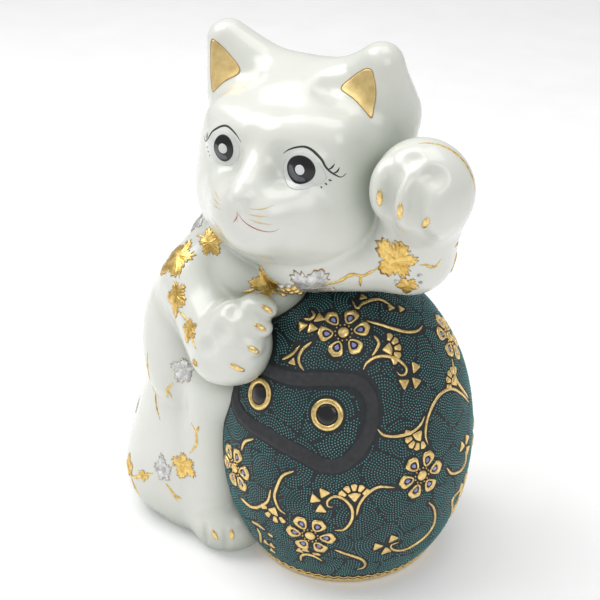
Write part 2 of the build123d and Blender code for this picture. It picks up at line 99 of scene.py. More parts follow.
def limb(p, start, end, start_radius, end_radius):
    """Signed distance to a tapered limb with round ends."""
    a = np.array(start, np.float32)
    ab = np.array(end, np.float32) - a
    length = float(np.linalg.norm(ab))
    slope = (end_radius - start_radius) / length
    along = ((p - a) @ ab) / length
    away = np.sqrt(np.maximum(np.sum((p - a) ** 2, axis=1) - along ** 2, 0))
    h = np.clip((along + away * slope / math.sqrt(1 - slope ** 2)) / length, 0, 1)
    return np.linalg.norm(p - a - h[:, None] * ab, axis=1) - (start_radius + (end_radius - start_radius) * h)


def blend(a, b, k):
    """Smooth union."""
    h = np.clip(0.5 + 0.5 * (b - a) / k, 0, 1)
    return b + (a - b) * h - k * h * (1 - h)


def carve(a, b, k):
    """Smooth cut of b out of a."""
    return -blend(-a, b, k)


def smooth_curve(points, count, closed=False):
    """Points of a Catmull-Rom curve through the given points, evenly spaced along it."""
    pts = np.array(points, float)
    if closed:
        pts = np.vstack([pts[-1], pts, pts[0], pts[1]])
    else:
        pts = np.vstack([2 * pts[0] - pts[1], pts, 2 * pts[-1] - pts[-2]])
    out = []
    for p0, p1, p2, p3 in zip(pts[:-3], pts[1:-2], pts[2:-1], pts[3:]):
        t = np.linspace(0, 1, 24, endpoint=False)[:, None]
        out.append(0.5 * (2 * p1 + (p2 - p0) * t + (2 * p0 - 5 * p1 + 4 * p2 - p3) * t**2
                          + (3 * p1 - p0 - 3 * p2 + p3) * t**3))
    out = np.vstack(out + [pts[-2][None]])
    run = np.concatenate([[0], np.cumsum(np.linalg.norm(np.diff(out, axis=0), axis=1))])
    at = np.linspace(0, run[-1], count)
    return np.stack([np.interp(at, run, out[:, i]) for i in range(out.shape[1])], 1)


# The doll's side from foot to crown: radius and height of the drawing, scaled to the frame's doll.
PROFILE = [(36, 0), (37.8, 3), (43.7, 14), (48.3, 30), (50, 46), (49, 62), (45.2, 78), (38.5, 92), (29, 104),
           (15.5, 112), (0, 115)]
OUTLINE = smooth_curve(PROFILE, 200) * (DOLL_HEIGHT / PROFILE[-1][1])
OUT_RUN = np.concatenate([[0], np.cumsum(np.linalg.norm(np.diff(OUTLINE, axis=0), axis=1))])
OUT_DIR = np.gradient(OUTLINE, OUT_RUN, axis=0)
OUT_DIR /= np.linalg.norm(OUT_DIR, axis=1)[:, None]


def doll_field(p):
    """Signed distance to the doll, from every eighth point of its side."""
    rho = np.hypot(p[:, 0] - DOLL_X, p[:, 1] - DOLL_Y)
    z = p[:, 2]
    best = np.full(len(p), FAR, np.float32)
    sign = np.ones(len(p), np.float32)
    line = np.vstack([OUTLINE[::8], OUTLINE[-1]])
    for (r0, z0), (r1, z1) in zip(line[:-1], line[1:]):
        dr, dz = r1 - r0, z1 - z0
        length2 = max(dr * dr + dz * dz, TINY)
        h = np.clip(((rho - r0) * dr + (z - z0) * dz) / length2, 0, 1)
        er, ez = rho - r0 - h * dr, z - z0 - h * dz
        d = np.hypot(er, ez)
        side = er * dz - ez * dr
        closer = d < best
        best = np.where(closer, d, best)
        sign = np.where(closer, np.sign(side), sign)
    return best * sign


SIDES = (-1, 1)
EYE_SPREAD, EYE_MIDDLE, EYE_LEVEL = 15.2, 1.7, 167.7
EAR_MIDDLE = -1.5


def head_field(p):
    """The cat's head: cranium, cheeks, brow, nose, muzzle, chin and ears."""
    p = p - HEAD_SHIFT
    d = ellipsoid(p, (1.5, 6, 156.5), (39.5, 37, 36.5))
    d = blend(d, ellipsoid(p, (2.4, -3, 146.4), (39.0, 34.5, 28.6)), 10)
    d = blend(d, ellipsoid(p, (3, -29, 150), (19, 14, 14)), 10)
    for side in SIDES:
        outer_edge = limb(p, (0.5 + side * 27, 7.5, 177), (EAR_MIDDLE + side * 32, 4.5, 195.2), 15.0, 6.8)
        inner_edge = limb(p, (side * 9, 7, 179.5), (EAR_MIDDLE + side * 30, 5, 196.5), 12.5, 5.4)
        d = blend(d, blend(outer_edge, inner_edge, 6), 6)
    for side in SIDES:
        eye = EYE_MIDDLE + side * EYE_SPREAD
        temple = ellipsoid(p, (EYE_MIDDLE + side * 11.5, -6, 165), (23.5, 21, 19))
        brow = limb(p, (EYE_MIDDLE + side * 6, -24.2, 174.5), (EYE_MIDDLE + side * 22, -17.5, 175), 4.5, 4.0)
        socket = ellipsoid(p, (eye - side * 2.5, -37.5, 168), (8.5, 7.5, 7.2))
        eyeball = ellipsoid(p, (eye, -23.4, EYE_LEVEL - side * 0.8), (9.0, 7.2, 7.4))
        muzzle = ellipsoid(p, (3 + side * 6.5, -37, 151.5), (8.5, 8.5, 7.5))
        cheek = limb(p, (2.7 + side * 5, -38.5, 152.5), (2.7 + side * 15, -28.5, 152.5), 6.5, 6.0)
        d = carve(blend(blend(d, temple, 6), brow, 10), socket, 5)
        d = blend(blend(blend(d, eyeball, 3.0), muzzle, 5), cheek, 5)
    nose = limb(p, (2.2, -25.5, 167.0), (2.4, -40.4, 160.1), 5.8, 4.5)
    nose_tip = ellipsoid(p, (2.4, -43.8, 158.6), (3.6, 3.3, 3.0))
    lip_groove = limb(p, (2.5, -48.2, 156), (2.6, -47.5, 152), 1.0, 1.1)
    chin = ellipsoid(p, (3, -35.5, 143.5), (10, 8.5, 6.5))
    d = carve(blend(blend(d, nose, 5.5), nose_tip, 1.8), lip_groove, 2.0)
    d = blend(d, chin, 6)
    for side in SIDES:
        dish = ellipsoid(p, (EAR_MIDDLE + side * 26.5, -15.4, 198), (12.5, 12, 14))
        ear_foot = ellipsoid(p, (side * 16.2, -10, 190.6), (5.5, 4.2, 4.2))
        d = carve(carve(d, dish, 3.5), ear_foot, 4)
    return d


def torso_field(p):
    """Back, belly, hip, haunch and the lobe of the flank."""
    p = p - BODY_SHIFT
    back = limb(p, (-17, 6, 121), (-31, 4, 60), 24.5, 33)
    hip = ellipsoid(p, (-36, -2, 31), (37, 36, 39))
    haunch = ellipsoid(p, (-47.5, -12, 18), (25.5, 26.5, 24))
    foot = ellipsoid(p, (-33, -24, 12), (18, 14, 15))
    flank = ellipsoid(p, (-40, -18.0, 79), (18.5, 17.5, 35))
    chest = ellipsoid(p, (-10, -14, 112), (20, 14, 17))
    d = blend(blend(blend(back, hip, 14), haunch, 8), foot, 6)
    return blend(blend(d, flank, 1.2), chest, 9)


def leg_field(p):
    """Raised knee, shin and foot of the right hind leg."""
    p = p - BODY_SHIFT
    d = limb(p, (-22, -24, 69), (-21.5, -26.5, 18), 13.6, 12)
    d = blend(d, ellipsoid(p, (-17.5, -25.5, 70), (13.5, 12.0, 14)), 3)
    d = blend(d, ellipsoid(p, (-17, -28, 10), (16.5, 15, 13)), 2.5)
    for x, y in ((-18.5, -42.8), (-9.5, -41.5)):
        d = carve(d, limb(p, (x, y, 14), (x, y, 2), 0.8, 0.8), 2)
    return d


def resting_field(p):
    """Right arm and the paw that rests on the doll."""
    p = p - RESTING_SHIFT
    d = limb(p, (-27, -7, 120), (-33.5, -18, 106), 15.3, 14.6)
    d = blend(d, limb(p, (-33.5, -18, 106), (-11, -36, 93), 14.6, 13.4), 6)
    d = blend(d, ellipsoid(p, (-5, -36.5, 98), (13, 12, 16.5)), 3)
    for toe in ((1.5, -32.5, 112), (2, -37, 106.5), (0.5, -41, 100.5), (-4.5, -43, 94)):
        d = blend(d, ellipsoid(p, toe, (7.6, 5.6, 4.6)), 1.6)
    for dimple, size in (((-5.5, -50, 107.5), 5.2), ((-2.5, -43.4, 115.6), 4.0), ((-11, -50.5, 100.5), 4.2)):
        d = carve(d, ellipsoid(p, dimple, (size, size, size)), 2.6)
    return d


def raised_field(p):
    """Left arm over the doll's crown and the raised paw."""
    p = p - RAISED_SHIFT
    d = limb(p, (8, -16, 128), (45, -3.5, 132.5), 14, 14.2)
    d = blend(d, limb(p, (49, -4.5, 134), (54, -10, 154), 13.6, 15), 8)
    d = blend(d, ellipsoid(p, (56, -15, 162), (17.5, 15, 17.5)), 4)
    for toe in ((46.0, -22.0, 163), (55.4, -24.6, 161.5), (64.6, -21.0, 160)):
        d = blend(d, ellipsoid(p, toe, (5.4, 8.0, 10.5)), 1.8)
    for top, bottom in (((61.2, -29.8, 170), (59.6, -31.2, 156)), ((51.4, -29.0, 171), (50.4, -30.4, 157))):
        d = carve(d, limb(p, top, bottom, 1.7, 1.2), 4)
    for dimple, size in (((65.4, -28.0, 172.6), 5.0), ((56.2, -27.2, 177.0), 4.2)):
        d = carve(d, ellipsoid(p, dimple, (size * 1.15, size, size * 0.8)), 2.2)
    return d


def tail_field(p):
    """Short tail laid round the back of the haunch."""
    p = p - BODY_SHIFT
    return limb(p, (-31, 35, 12), (-53, 29, 34), 9, 7.2)


# Piece, CAD node, field, and how softly it joins the ones before it.
CASTINGS = (
    ("glazed_body", "cat_body", torso_field, 0),
    ("glazed_leg", "hind_leg", leg_field, 4.0),
    ("glazed_resting_arm", "resting_arm", resting_field, 2.2),
    ("glazed_raised_arm", "raised_arm", raised_field, 3.5),
    ("glazed_head", "cat_head", head_field, 1.6),
    ("glazed_tail", "cat_tail", tail_field, 4.0),
)


def cat_fields(p):
    """The joined field of the whole cat, and the casting that lies nearest to each point."""
    own = [field(p) for _, _, field, _ in CASTINGS]
    whole = own[0]
    for d, (_, _, _, softness) in zip(own[1:], CASTINGS[1:]):
        whole = blend(whole, d, softness)
    below_floor = p[:, 2]
    return carve(whole, below_floor, 1.2), np.argmin(own, axis=0)


def cat_field(p):
    """The joined field of the whole cat."""
    return cat_fields(np.asarray(p, np.float32))[0]


def cat_solid(p):
    """The cat where it stands clear of the doll."""
    return carve(cat_field(p), doll_field(p) + 1.5, 0.3)


def gradient(field, p, eps=0.15):
    """Unit normals of a field."""
    steps = np.array([[1, -1, -1], [-1, -1, 1], [-1, 1, -1], [1, 1, 1]], np.float32)
    g = sum(s * field(p + s * eps)[:, None] for s in steps)
    return g / np.maximum(np.linalg.norm(g, axis=1), TINY)[:, None]


# ---- meshing a field
def surface_nets(field, low, high, step):
    """Quads on the zero surface of a field, worked out only in the blocks of cells near that surface."""
    block, well_clear = 4, 9
    count = [int(math.ceil((h - l) / step / block)) for l, h in zip(low, high)]
    centres = [l + (np.arange(n) * block + (block - 1) / 2) * step for l, n in zip(low, count)]
    grid = np.stack(np.meshgrid(*centres, indexing="ij"), -1).reshape(-1, 3).astype(np.float32)
    coarse = np.concatenate([field(part) for part in np.array_split(grid, 8)])
    near = np.abs(coarse) < block * step * 1.5
    values = (np.sign(coarse.reshape(count)) * well_clear).astype(np.float32)
    for axis in range(3):
        values = np.repeat(values, block, axis)
    corner = np.argwhere(near.reshape(count)) * block
    local = np.stack(np.meshgrid(*[np.arange(block)] * 3, indexing="ij"), -1).reshape(-1, 3)
    ids = (corner[:, None, :] + local[None]).reshape(-1, 3)
    for part in np.array_split(ids, 24):
        values[part[:, 0], part[:, 1], part[:, 2]] = field((np.array(low) + part * step).astype(np.float32))
    inside = values < 0
    total = np.zeros([n - 1 for n in values.shape], np.int8)
    corners = [(i, j, k) for i in (0, 1) for j in (0, 1) for k in (0, 1)]
    shape = total.shape
    for i, j, k in corners:
        total += inside[i:i + shape[0], j:j + shape[1], k:k + shape[2]]
    cells = np.argwhere((total > 0) & (total < 8))
    index = np.full(shape, -1, np.int64)
    index[tuple(cells.T)] = np.arange(len(cells))
    position = np.zeros((len(cells), 3))
    crossings = np.zeros(len(cells))
    for a in corners:
        for axis in range(3):
            if a[axis]:
                continue
            b = tuple(1 if i == axis else a[i] for i in range(3))
            va = values[tuple((cells + a).T)]
            vb = values[tuple((cells + b).T)]
            cut = (va < 0) != (vb < 0)
            t = va[cut] / (va[cut] - vb[cut])
            position[cut] += cells[cut] + np.array(a) + t[:, None] * (np.array(b) - np.array(a))
            crossings[cut] += 1
    verts = np.array(low) + position / crossings[:, None] * step
    quads = []
    for axis in range(3):
        u, v = (axis + 1) % 3, (axis + 2) % 3
        first = np.take(inside, range(values.shape[axis] - 1), axis)
        second = np.take(inside, range(1, values.shape[axis]), axis)
        edge = np.argwhere(first != second)
        within = (edge[:, u] > 0) & (edge[:, v] > 0) & (edge[:, u] < shape[u]) & (edge[:, v] < shape[v])
        edge = edge[within]
        du, dv = np.eye(3, dtype=int)[u], np.eye(3, dtype=int)[v]
        ring = [edge - du - dv, edge - dv, edge, edge - du]
        quad = np.stack([index[tuple(r.T)] for r in ring], 1)
        outward = first[tuple(edge.T)]
        quad = np.where(outward[:, None], quad, quad[:, ::-1])
        quads.append(quad[(quad >= 0).all(1)])
    return verts, np.vstack(quads)


def settle(field, verts, rounds=2):
    """Moves points onto the zero surface of a field."""
    for _ in range(rounds):
        p = verts.astype(np.float32)
        verts = verts - gradient(field, p) * field(p)[:, None]
    return verts


# ---- Blender objects
def add_object(name, verts, faces, material, replaces, slot, normals=None):
    """A mesh in millimetres as a piece that rides on the figurine, in place of some CAD nodes."""
    mesh = bpy.data.meshes.new(name)
    mesh.from_pydata((np.asarray(verts) * MM).tolist(), [], [list(map(int, f)) for f in faces])
    mesh.polygons.foreach_set("use_smooth", [True] * len(mesh.polygons))
    mesh.update()
    if normals is not None:
        mesh.normals_split_custom_set_from_vertices(normals.tolist())
    mesh.materials.append(material)
    piece = bpy.data.objects.new(name, mesh)
    bpy.context.scene.collection.objects.link(piece)
    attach(piece, "root")
    if replaces:
        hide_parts(*replaces)


class Builder:
    """Gathers many small closed shapes into one mesh."""

    def __init__(self):
        self.verts, self.faces, self.count = [], [], 0

    def add(self, verts, faces):
        verts = np.asarray(verts, float)
        self.verts.append(verts)
        self.faces.extend([[i + self.count for i in f] for f in faces])
        self.count += len(verts)

    def make(self, name, material, replaces, slot):
        add_object(name, np.vstack(self.verts), self.faces, material, replaces, slot)


# ---- node materials
def new_material(name):
    """A node material, its tree and its shader."""
    material = bpy.data.materials.new(name)
    material.use_nodes = True
    tree = material.node_tree
    return material, tree, tree.nodes["Principled BSDF"]


def node(tree, kind, links=(), **values):
    """A node with its values set and its inputs linked."""
    made = tree.nodes.new(kind)
    for key, value in values.items():
        if hasattr(made, key):
            setattr(made, key, value)
        else:
            made.inputs[key.replace("_", " ")].default_value = value
    for socket, source in links:
        tree.links.new(source, made.inputs[socket])
    return made


def noise(tree, scale, detail=4.0, rough=0.55):
    """Noise over the piece, in its own coordinates."""
    place = node(tree, "ShaderNodeTexCoord")
    links = [("Vector", place.outputs["Object"])]
    return node(tree, "ShaderNodeTexNoise", links, Scale=scale, Detail=detail, Roughness=rough)


def ramp(tree, source, stops):
    """Colours by the level of the source; a plain number stands for a grey."""
    made = node(tree, "ShaderNodeValToRGB", [("Fac", source)])
    while len(made.color_ramp.elements) < len(stops):
        made.color_ramp.elements.new(0.5)
    for element, (at, colour) in zip(made.color_ramp.elements, stops):
        element.position = at
        element.color = (*np.broadcast_to(colour, 3), 1)
    return made.outputs["Color"]


def bump(tree, source, strength, distance):
    """Normals of a relief whose height is the level of the source."""
    made = node(tree, "ShaderNodeBump", [("Height", source)], Strength=strength, Distance=distance)
    return made.outputs["Normal"]


def mottled(name, colours, roughness, grain, detail, worn, strength, depth, coat=0.0, metallic=0.0):
    """A material whose colour, roughness and relief vary with noise, from low to high."""
    material, tree, shader = new_material(name)
    level = noise(tree, grain, *detail).outputs["Fac"]
    wear = noise(tree, worn, 3).outputs["Fac"]
    for socket, source in (
        ("Base Color", ramp(tree, level, colours)),
        ("Roughness", ramp(tree, wear, [(0.3, roughness[0]), (0.75, roughness[1])])),
        ("Normal", bump(tree, level, strength, depth)),
    ):
        tree.links.new(source, shader.inputs[socket])
    shader.inputs["Metallic"].default_value = metallic
    shader.inputs["Coat Weight"].default_value = coat
    shader.inputs["Coat Roughness"].default_value = 0.05
    return material


def porcelain():
    """Clear glaze over white clay, with painted shade, a little green, in its hollows and creases."""
    material, tree, shader = new_material("porcelain_glaze")
    soft, fine, wavy = (noise(tree, *scale).outputs["Fac"] for scale in ((22, 3), (260, 3), (60, 2)))
    tint = ramp(tree, soft, [(0.3, (0.68, 0.695, 0.635)), (0.72, (0.74, 0.75, 0.70))])
    # Painted shade: ambient occlusion darkens the glaze colour, a little green, in hollows, creases and
    # between parts.
    hollow = node(tree, "ShaderNodeAmbientOcclusion", samples=6, Distance=0.022)
    painted_crease_shade = ramp(tree, hollow.outputs["AO"], [(0.3, (0.42, 0.47, 0.41)), (0.97, 1.0)])
    layers = [("Color1", tint), ("Color2", painted_crease_shade)]
    mix = node(tree, "ShaderNodeMixRGB", layers, blend_type="MULTIPLY", Fac=0.85)
    for socket, source in (
        ("Base Color", mix.outputs["Color"]),
        ("Roughness", ramp(tree, fine, [(0.3, 0.19), (0.8, 0.28)])),
        ("Normal", bump(tree, wavy, 0.12, 0.0006)),
    ):
        tree.links.new(source, shader.inputs[socket])
    shader.inputs["IOR"].default_value = 1.52
    shader.inputs["Coat Weight"].default_value = 0.3
    shader.inputs["Coat Roughness"].default_value = 0.12
    return material


def gilding(name, light, dark, rough_low, rough_high, grain, depth):
    """Fired leaf: bright on the ridges, darker where the brush pooled."""
    colours, roughness = [(0.32, dark), (0.62, light)], (rough_low, rough_high)
    return mottled(name, colours, roughness, grain, (5, 0.65), grain * 0.5, 0.5, depth, metallic=1.0)


def enamel(name, low, high, rough, grain, strength=0.1, depth=0.0001, coat=0.0):
    """Coloured enamel, mottled at the scale of its grain."""
    colours, roughness = [(0.3, low), (0.72, high)], (rough * 0.85, min(1, rough * 1.15))
    return mottled(name, colours, roughness, grain, (4,), grain * 0.4, strength, depth, coat)


PORCELAIN = porcelain()
GOLD = gilding("raised_gold", (0.93, 0.71, 0.33), (0.66, 0.44, 0.14), 0.22, 0.42, 900, 0.00012)
LEAF_GOLD = gilding("leaf_gold", (0.92, 0.67, 0.24), (0.52, 0.31, 0.06), 0.24, 0.48, 420, 0.0004)
PALE_GOLD = gilding("ear_gold", (0.88, 0.69, 0.34), (0.72, 0.52, 0.20), 0.40, 0.58, 160, 0.0003)
SILVER = gilding("leaf_silver", (0.80, 0.80, 0.78), (0.34, 0.34, 0.35), 0.38, 0.6, 380, 0.0004)
GROUND = enamel("dark_ground", (0.006, 0.010, 0.013), (0.010, 0.018, 0.022), 0.6, 700, 0.25, 0.0002)
BAND = enamel("window_charcoal", (0.020, 0.021, 0.024), (0.034, 0.035, 0.040), 0.66, 520, 0.35, 0.0002)
DOTS = enamel("teal_dots", (0.048, 0.23, 0.235), (0.125, 0.39, 0.385), 0.42, 120, coat=0.2)
BLACK = enamel("black_enamel", (0.003, 0.003, 0.004), (0.008, 0.008, 0.010), 0.22, 90, 0.05, coat=0.15)
VIOLET = enamel("violet_enamel", (0.13, 0.14, 0.42), (0.30, 0.32, 0.66), 0.12, 400, coat=1.0)
RED = enamel("red_line", (0.42, 0.04, 0.035), (0.58, 0.09, 0.07), 0.35, 600, coat=0.3)
INK = enamel("black_line", (0.004, 0.004, 0.005), (0.012, 0.012, 0.014), 0.5, 600, coat=0.4)
TAN = enamel("whisker_tan", (0.62, 0.42, 0.16), (0.78, 0.58, 0.28), 0.35, 500, coat=0.4)
RUST = enamel("ear_edge", (0.30, 0.17, 0.07), (0.46, 0.28, 0.12), 0.5, 500, coat=0.3)
IRIS_GREY = enamel("iris_grey", (0.06, 0.065, 0.075), (0.16, 0.17, 0.19), 0.4, 260, coat=0.1)
EYE_LIGHT = enamel("eye_light", (0.62, 0.64, 0.64), (0.78, 0.80, 0.80), 0.2, 90, 0.05, coat=0.6)
EYE_WHITE = enamel("eye_glaze", (0.61, 0.635, 0.605), (0.665, 0.69, 0.66), 0.2, 60, 0.05, coat=0.5)


# ---- the cat's glazed castings
CELL = 0.8
LOW, HIGH = (-80, -56, -3), (78, 50, 208)
RIM_DEPTH = 0.9
VOTES = 8


def close_rims(points, faces, normals):
    """Closes every open rim of a casting with a sunk edge and a fan to its middle."""
    edges = np.stack([faces, np.roll(faces, -1, 1)], -1).reshape(-1, 2)
    forward = edges[:, 0] * len(points) + edges[:, 1]
    backward = edges[:, 1] * len(points) + edges[:, 0]
    following = {}
    for a, b in edges[~np.isin(forward, backward)]:
        following.setdefault(int(a), []).append(int(b))
    faces = faces.tolist()
    centres = []
    while following:
        start = next(iter(following))
        loop = [start]
        while True:
            here = loop[-1]
            step = following[here].pop()
            if not following[here]:
                del following[here]
            if step == start or step not in following:
                break
            loop.append(step)
        base = len(points) + len(centres)
        lowered = points[loop] - normals[loop] * RIM_DEPTH
        centres.extend(lowered)
        centres.append(lowered.mean(0))
        for i, (a, b) in enumerate(zip(loop, loop[1:] + loop[:1])):
            j = (i + 1) % len(loop)
            faces.append([b, a, base + i, base + j])
            faces.append([base + j, base + i, base + len(loop)])
    if centres:
        points = np.vstack([points, centres])
        normals = np.vstack([normals, np.tile([0.0, 0.0, 1.0], (len(centres), 1))])
    return points, faces, normals


def glazed_castings():
    """The cat's surface, each face given to the casting that most of its neighbours belong to."""
    verts, quads = surface_nets(cat_solid, LOW, HIGH, CELL)
    verts = settle(cat_solid, verts)
    normals = gradient(cat_solid, verts.astype(np.float32))
    owner = cat_fields(verts[quads].mean(1).astype(np.float32))[1]
    for _ in range(VOTES):
        votes = np.zeros((len(verts), len(CASTINGS)))
        for corner in quads.T:
            np.add.at(votes, (corner, owner), 1)
        owner = votes[quads].sum(1).argmax(1)
    for number, (name, cad_node, _, _) in enumerate(CASTINGS):
        used, local = np.unique(quads[owner == number], return_inverse=True)
        points, faces, directions = close_rims(verts[used], local.reshape(-1, 4), normals[used])
        add_object(name, points, faces, PORCELAIN, (cad_node,), "cat_porcelain", directions)


glazed_castings()


# ---- the doll's surface
# The face window's outer edge, in degrees round from the front and mm of height.
WINDOW = smooth_curve(
    [(-34, 90), (-19, 91.6), (0, 92.2), (15, 93.8), (31, 94), (39.5, 91.5), (43.5, 86), (42, 76), (35, 66),
     (27, 60.6), (19, 59.6), (7, 63), (-8, 65.6), (-20, 66.4), (-34, 69), (-42, 77), (-42, 86)],
    140, closed=True)
BAND_WIDTH = 5.0
RECESS = 1.0
WELL_OUTSIDE = 30.0


def run_at(height):
    """How far along the outline, from the foot, the doll reaches a height."""
    return np.interp(height, OUTLINE[:, 1], OUT_RUN)


def radius_at(run):
    """The doll's radius at that distance along the outline."""
    return np.interp(run, OUT_RUN, OUTLINE[:, 0])


WINDOW_FLAT = np.stack([radius_at(run_at(WINDOW[:, 1])) * np.sin(np.radians(WINDOW[:, 0])), WINDOW[:, 1]], 1)


def window_distance(azimuth, run):
    """Signed distance to the outer edge of the face window, negative inside, drawn as seen from the front."""
    azimuth, run = np.broadcast_arrays(np.asarray(azimuth, float), np.asarray(run, float))
    across = radius_at(run) * np.sin(np.radians(azimuth))
    up = np.interp(run, OUT_RUN, OUTLINE[:, 1])
    flat = np.stack([across.ravel(), up.ravel()], 1)
    best = np.full(len(flat), FAR)
    inside = np.zeros(len(flat), bool)
    for (ax, ay), (bx, by) in zip(WINDOW_FLAT[:-1], WINDOW_FLAT[1:]):
        ex, ey = bx - ax, by - ay
        dx, dy = flat[:, 0] - ax, flat[:, 1] - ay
        h = np.clip((dx * ex + dy * ey) / max(ex * ex + ey * ey, TINY), 0, 1)
        best = np.minimum(best, np.hypot(dx - h * ex, dy - h * ey))
        spans = (ay > flat[:, 1]) != (by > flat[:, 1])
        inside ^= spans & (flat[:, 0] < ex * dy / (ey or TINY) + ax)
    best = np.where(inside, -best, best)
    behind = np.cos(np.radians(azimuth.ravel())) < 0.1
    return np.where(behind, WELL_OUTSIDE, best).reshape(azimuth.shape)


def doll_place(azimuth, run, lift=0.0):
    """Points of the doll's surface, raised by lift."""
    azimuth, run = np.broadcast_arrays(np.asarray(azimuth, float), np.asarray(run, float))
    r = radius_at(run)
    z = np.interp(run, OUT_RUN, OUTLINE[:, 1])
    out_r = np.interp(run, OUT_RUN, OUT_DIR[:, 1])
    out_z = -np.interp(run, OUT_RUN, OUT_DIR[:, 0])
    depth = np.clip((-window_distance(azimuth, run) - 0.4) / (BAND_WIDTH - 1.0), 0, 1)
    h = lift - RECESS * depth * depth * (3 - 2 * depth)
    r = r + out_r * h
    a = np.radians(azimuth)
    return np.stack([DOLL_X + r * np.sin(a), DOLL_Y - r * np.cos(a), z + out_z * h], -1)


def doll_mesh():
    """The turned doll with its recessed face, foot and vent, as one closed mesh."""
    turns, rows = ((300, 190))
    azimuths = np.arange(turns) * 360 / turns
    a = np.radians(azimuths)
    # Radius and height of the underside, from the roof of the vent out to the foot.
    underside = [(4.9, 6.0), (5.0, 1.0), (6.5, 1.6), (30.5, 1.2), (31.5, 0.0), (35.2, 0.0)]
    circles = [(DOLL_X + r * np.sin(a), DOLL_Y - r * np.cos(a), np.full(turns, z)) for r, z in underside]
    rings = [np.stack(ring, 1) for ring in circles]
    rings += [doll_place(azimuths, run) for run in np.linspace(0, OUT_RUN[-1], rows)[:-1]]
    vent_roof, crown = (DOLL_X, DOLL_Y, underside[0][1]), (DOLL_X, DOLL_Y, OUTLINE[-1, 1])
    here = np.arange(turns)
    after = (here + 1) % turns
    faces = []
    for ring in range(len(rings) - 1):
        low, high = ring * turns, (ring + 1) * turns
        faces += np.stack([low + here, low + after, high + after, high + here], 1).tolist()
    last, count = (len(rings) - 1) * turns, len(rings) * turns
    faces += [(last + i, last + j, count + 1) for i, j in zip(here, after)]
    faces += [(j, i, count) for i, j in zip(here, after)]
    return np.vstack(rings + [[vent_roof, crown]]), faces


add_object("doll_casting", *doll_mesh(), GROUND, ("doll_shell",), "doll_porcelain")


# ---- raised work on the glaze
def sweep(builder, sections, closed=False):
    """Joins cross-sections into one closed shape; each runs from the outer side over the top."""
    sections = np.asarray(sections)
    n, k = sections.shape[:2]
    faces = []
    for i in range(n if closed else n - 1):
        j = (i + 1) % n
        for a in range(k):
            b = (a + 1) % k
            faces.append((i * k + a, j * k + a, j * k + b, i * k + b))
    if not closed:
        faces.append(list(range(k)))
        faces.append(list(range((n - 1) * k, n * k))[::-1])
    builder.add(sections.reshape(-1, 3), faces)


def dome(builder, loops, bottom, top):
    """Stacks loops, counter-clockwise seen from above, between a bottom and a top point."""
    k = len(loops[0])
    n = len(loops)
    faces = []
    for a in range(k):
        b = (a + 1) % k
        for i in range(n - 1):
            faces.append((i * k + a, i * k + b, (i + 1) * k + b, (i + 1) * k + a))
        faces.append(((n - 1) * k + a, (n - 1) * k + b, n * k + 1))
        faces.append((b, a, n * k))
    builder.add(np.vstack(list(loops) + [[bottom], [top]]), faces)


ARCH = [(math.cos(math.radians(a)), math.sin(math.radians(a))) for a in (0, 35, 65, 90, 115, 145, 180)]


def ribbon(builder, points, normals, widths, height, sink=0.4):
    """A raised line with a rounded back; widths are half widths."""
    points = np.asarray(points, float)
    along = np.gradient(points, axis=0)
    side = np.cross(along, normals)
    side /= np.maximum(np.linalg.norm(side, axis=1), TINY)[:, None]
    widths = np.asarray(widths, float)
    rise = height * np.clip(widths / widths.max(), 0.3, 1)
    section = [points + side * (widths * c)[:, None] + normals * (rise * s)[:, None] for c, s in ARCH]
    section.append(points - side * widths[:, None] * 0.9 - normals * sink)
    section.append(points + side * widths[:, None] * 0.9 - normals * sink)
    sweep(builder, np.stack(section, 1))


def taper(count, start, middle, end):
    """Half widths along a brush stroke, thin at its two tips."""
    t = np.linspace(0, 1, count)
    return np.interp(t, [0, 0.12, 0.5, 0.86, 1], [start * 0.35, start, middle, end, end * 0.35])


def turned(u, v, spin):
    """A flat drawing's points, turned by spin degrees."""
    u, v = np.atleast_1d(np.asarray(u, float)), np.atleast_1d(np.asarray(v, float))
    c, s = math.cos(math.radians(spin)), math.sin(math.radians(spin))
    return u * c - v * s, u * s + v * c


def on_doll(azimuth, height, spin=0.0):
    """Maps a flat drawing, in mm, onto the doll around a point."""
    run0 = run_at(height)

    def place(u, v, lift):
        u, v = turned(u, v, spin)
        run = np.clip(run0 + v, 0, OUT_RUN[-1])
        return doll_place(azimuth + np.degrees(u / np.maximum(radius_at(run), 1)), run, lift)
    return place


def on_cat(centre, spin=0.0, field=cat_field):
    """Maps a flat drawing, in mm, onto the cat around a point."""
    centre = settle(field, np.array([centre], float), 3)[0]
    out = gradient(field, centre[None].astype(np.float32))[0]
    right = np.cross([0, 0, 1], out)
    right /= np.linalg.norm(right)
    up = np.cross(out, right)

    def place(u, v, lift):
        u, v = turned(u, v, spin)
        p = settle(field, centre + u[:, None] * right + v[:, None] * up, 3)
        return p + gradient(field, p.astype(np.float32)) * lift
    return place


IN_FRONT = -62.0


def face_points(across, up):
    """Points of the face straight behind places of its front view."""
    across, up = np.atleast_1d(across).astype(float), np.atleast_1d(up).astype(float)
    p = np.stack([across, np.full(len(across), IN_FRONT), up], 1)
    for _ in range(60):
        p[:, 1] += np.clip(head_field(p.astype(np.float32)) * 0.85, -2, 12)
    return p


def on_face(across, up, spin=0.0):
    """Maps a flat drawing, in mm, onto the face from straight in front."""
    def place(u, v, lift):
        u, v = turned(u, v, spin)
        p = face_points(across + u, up + v)
        return p + gradient(head_field, p.astype(np.float32)) * lift
    return place


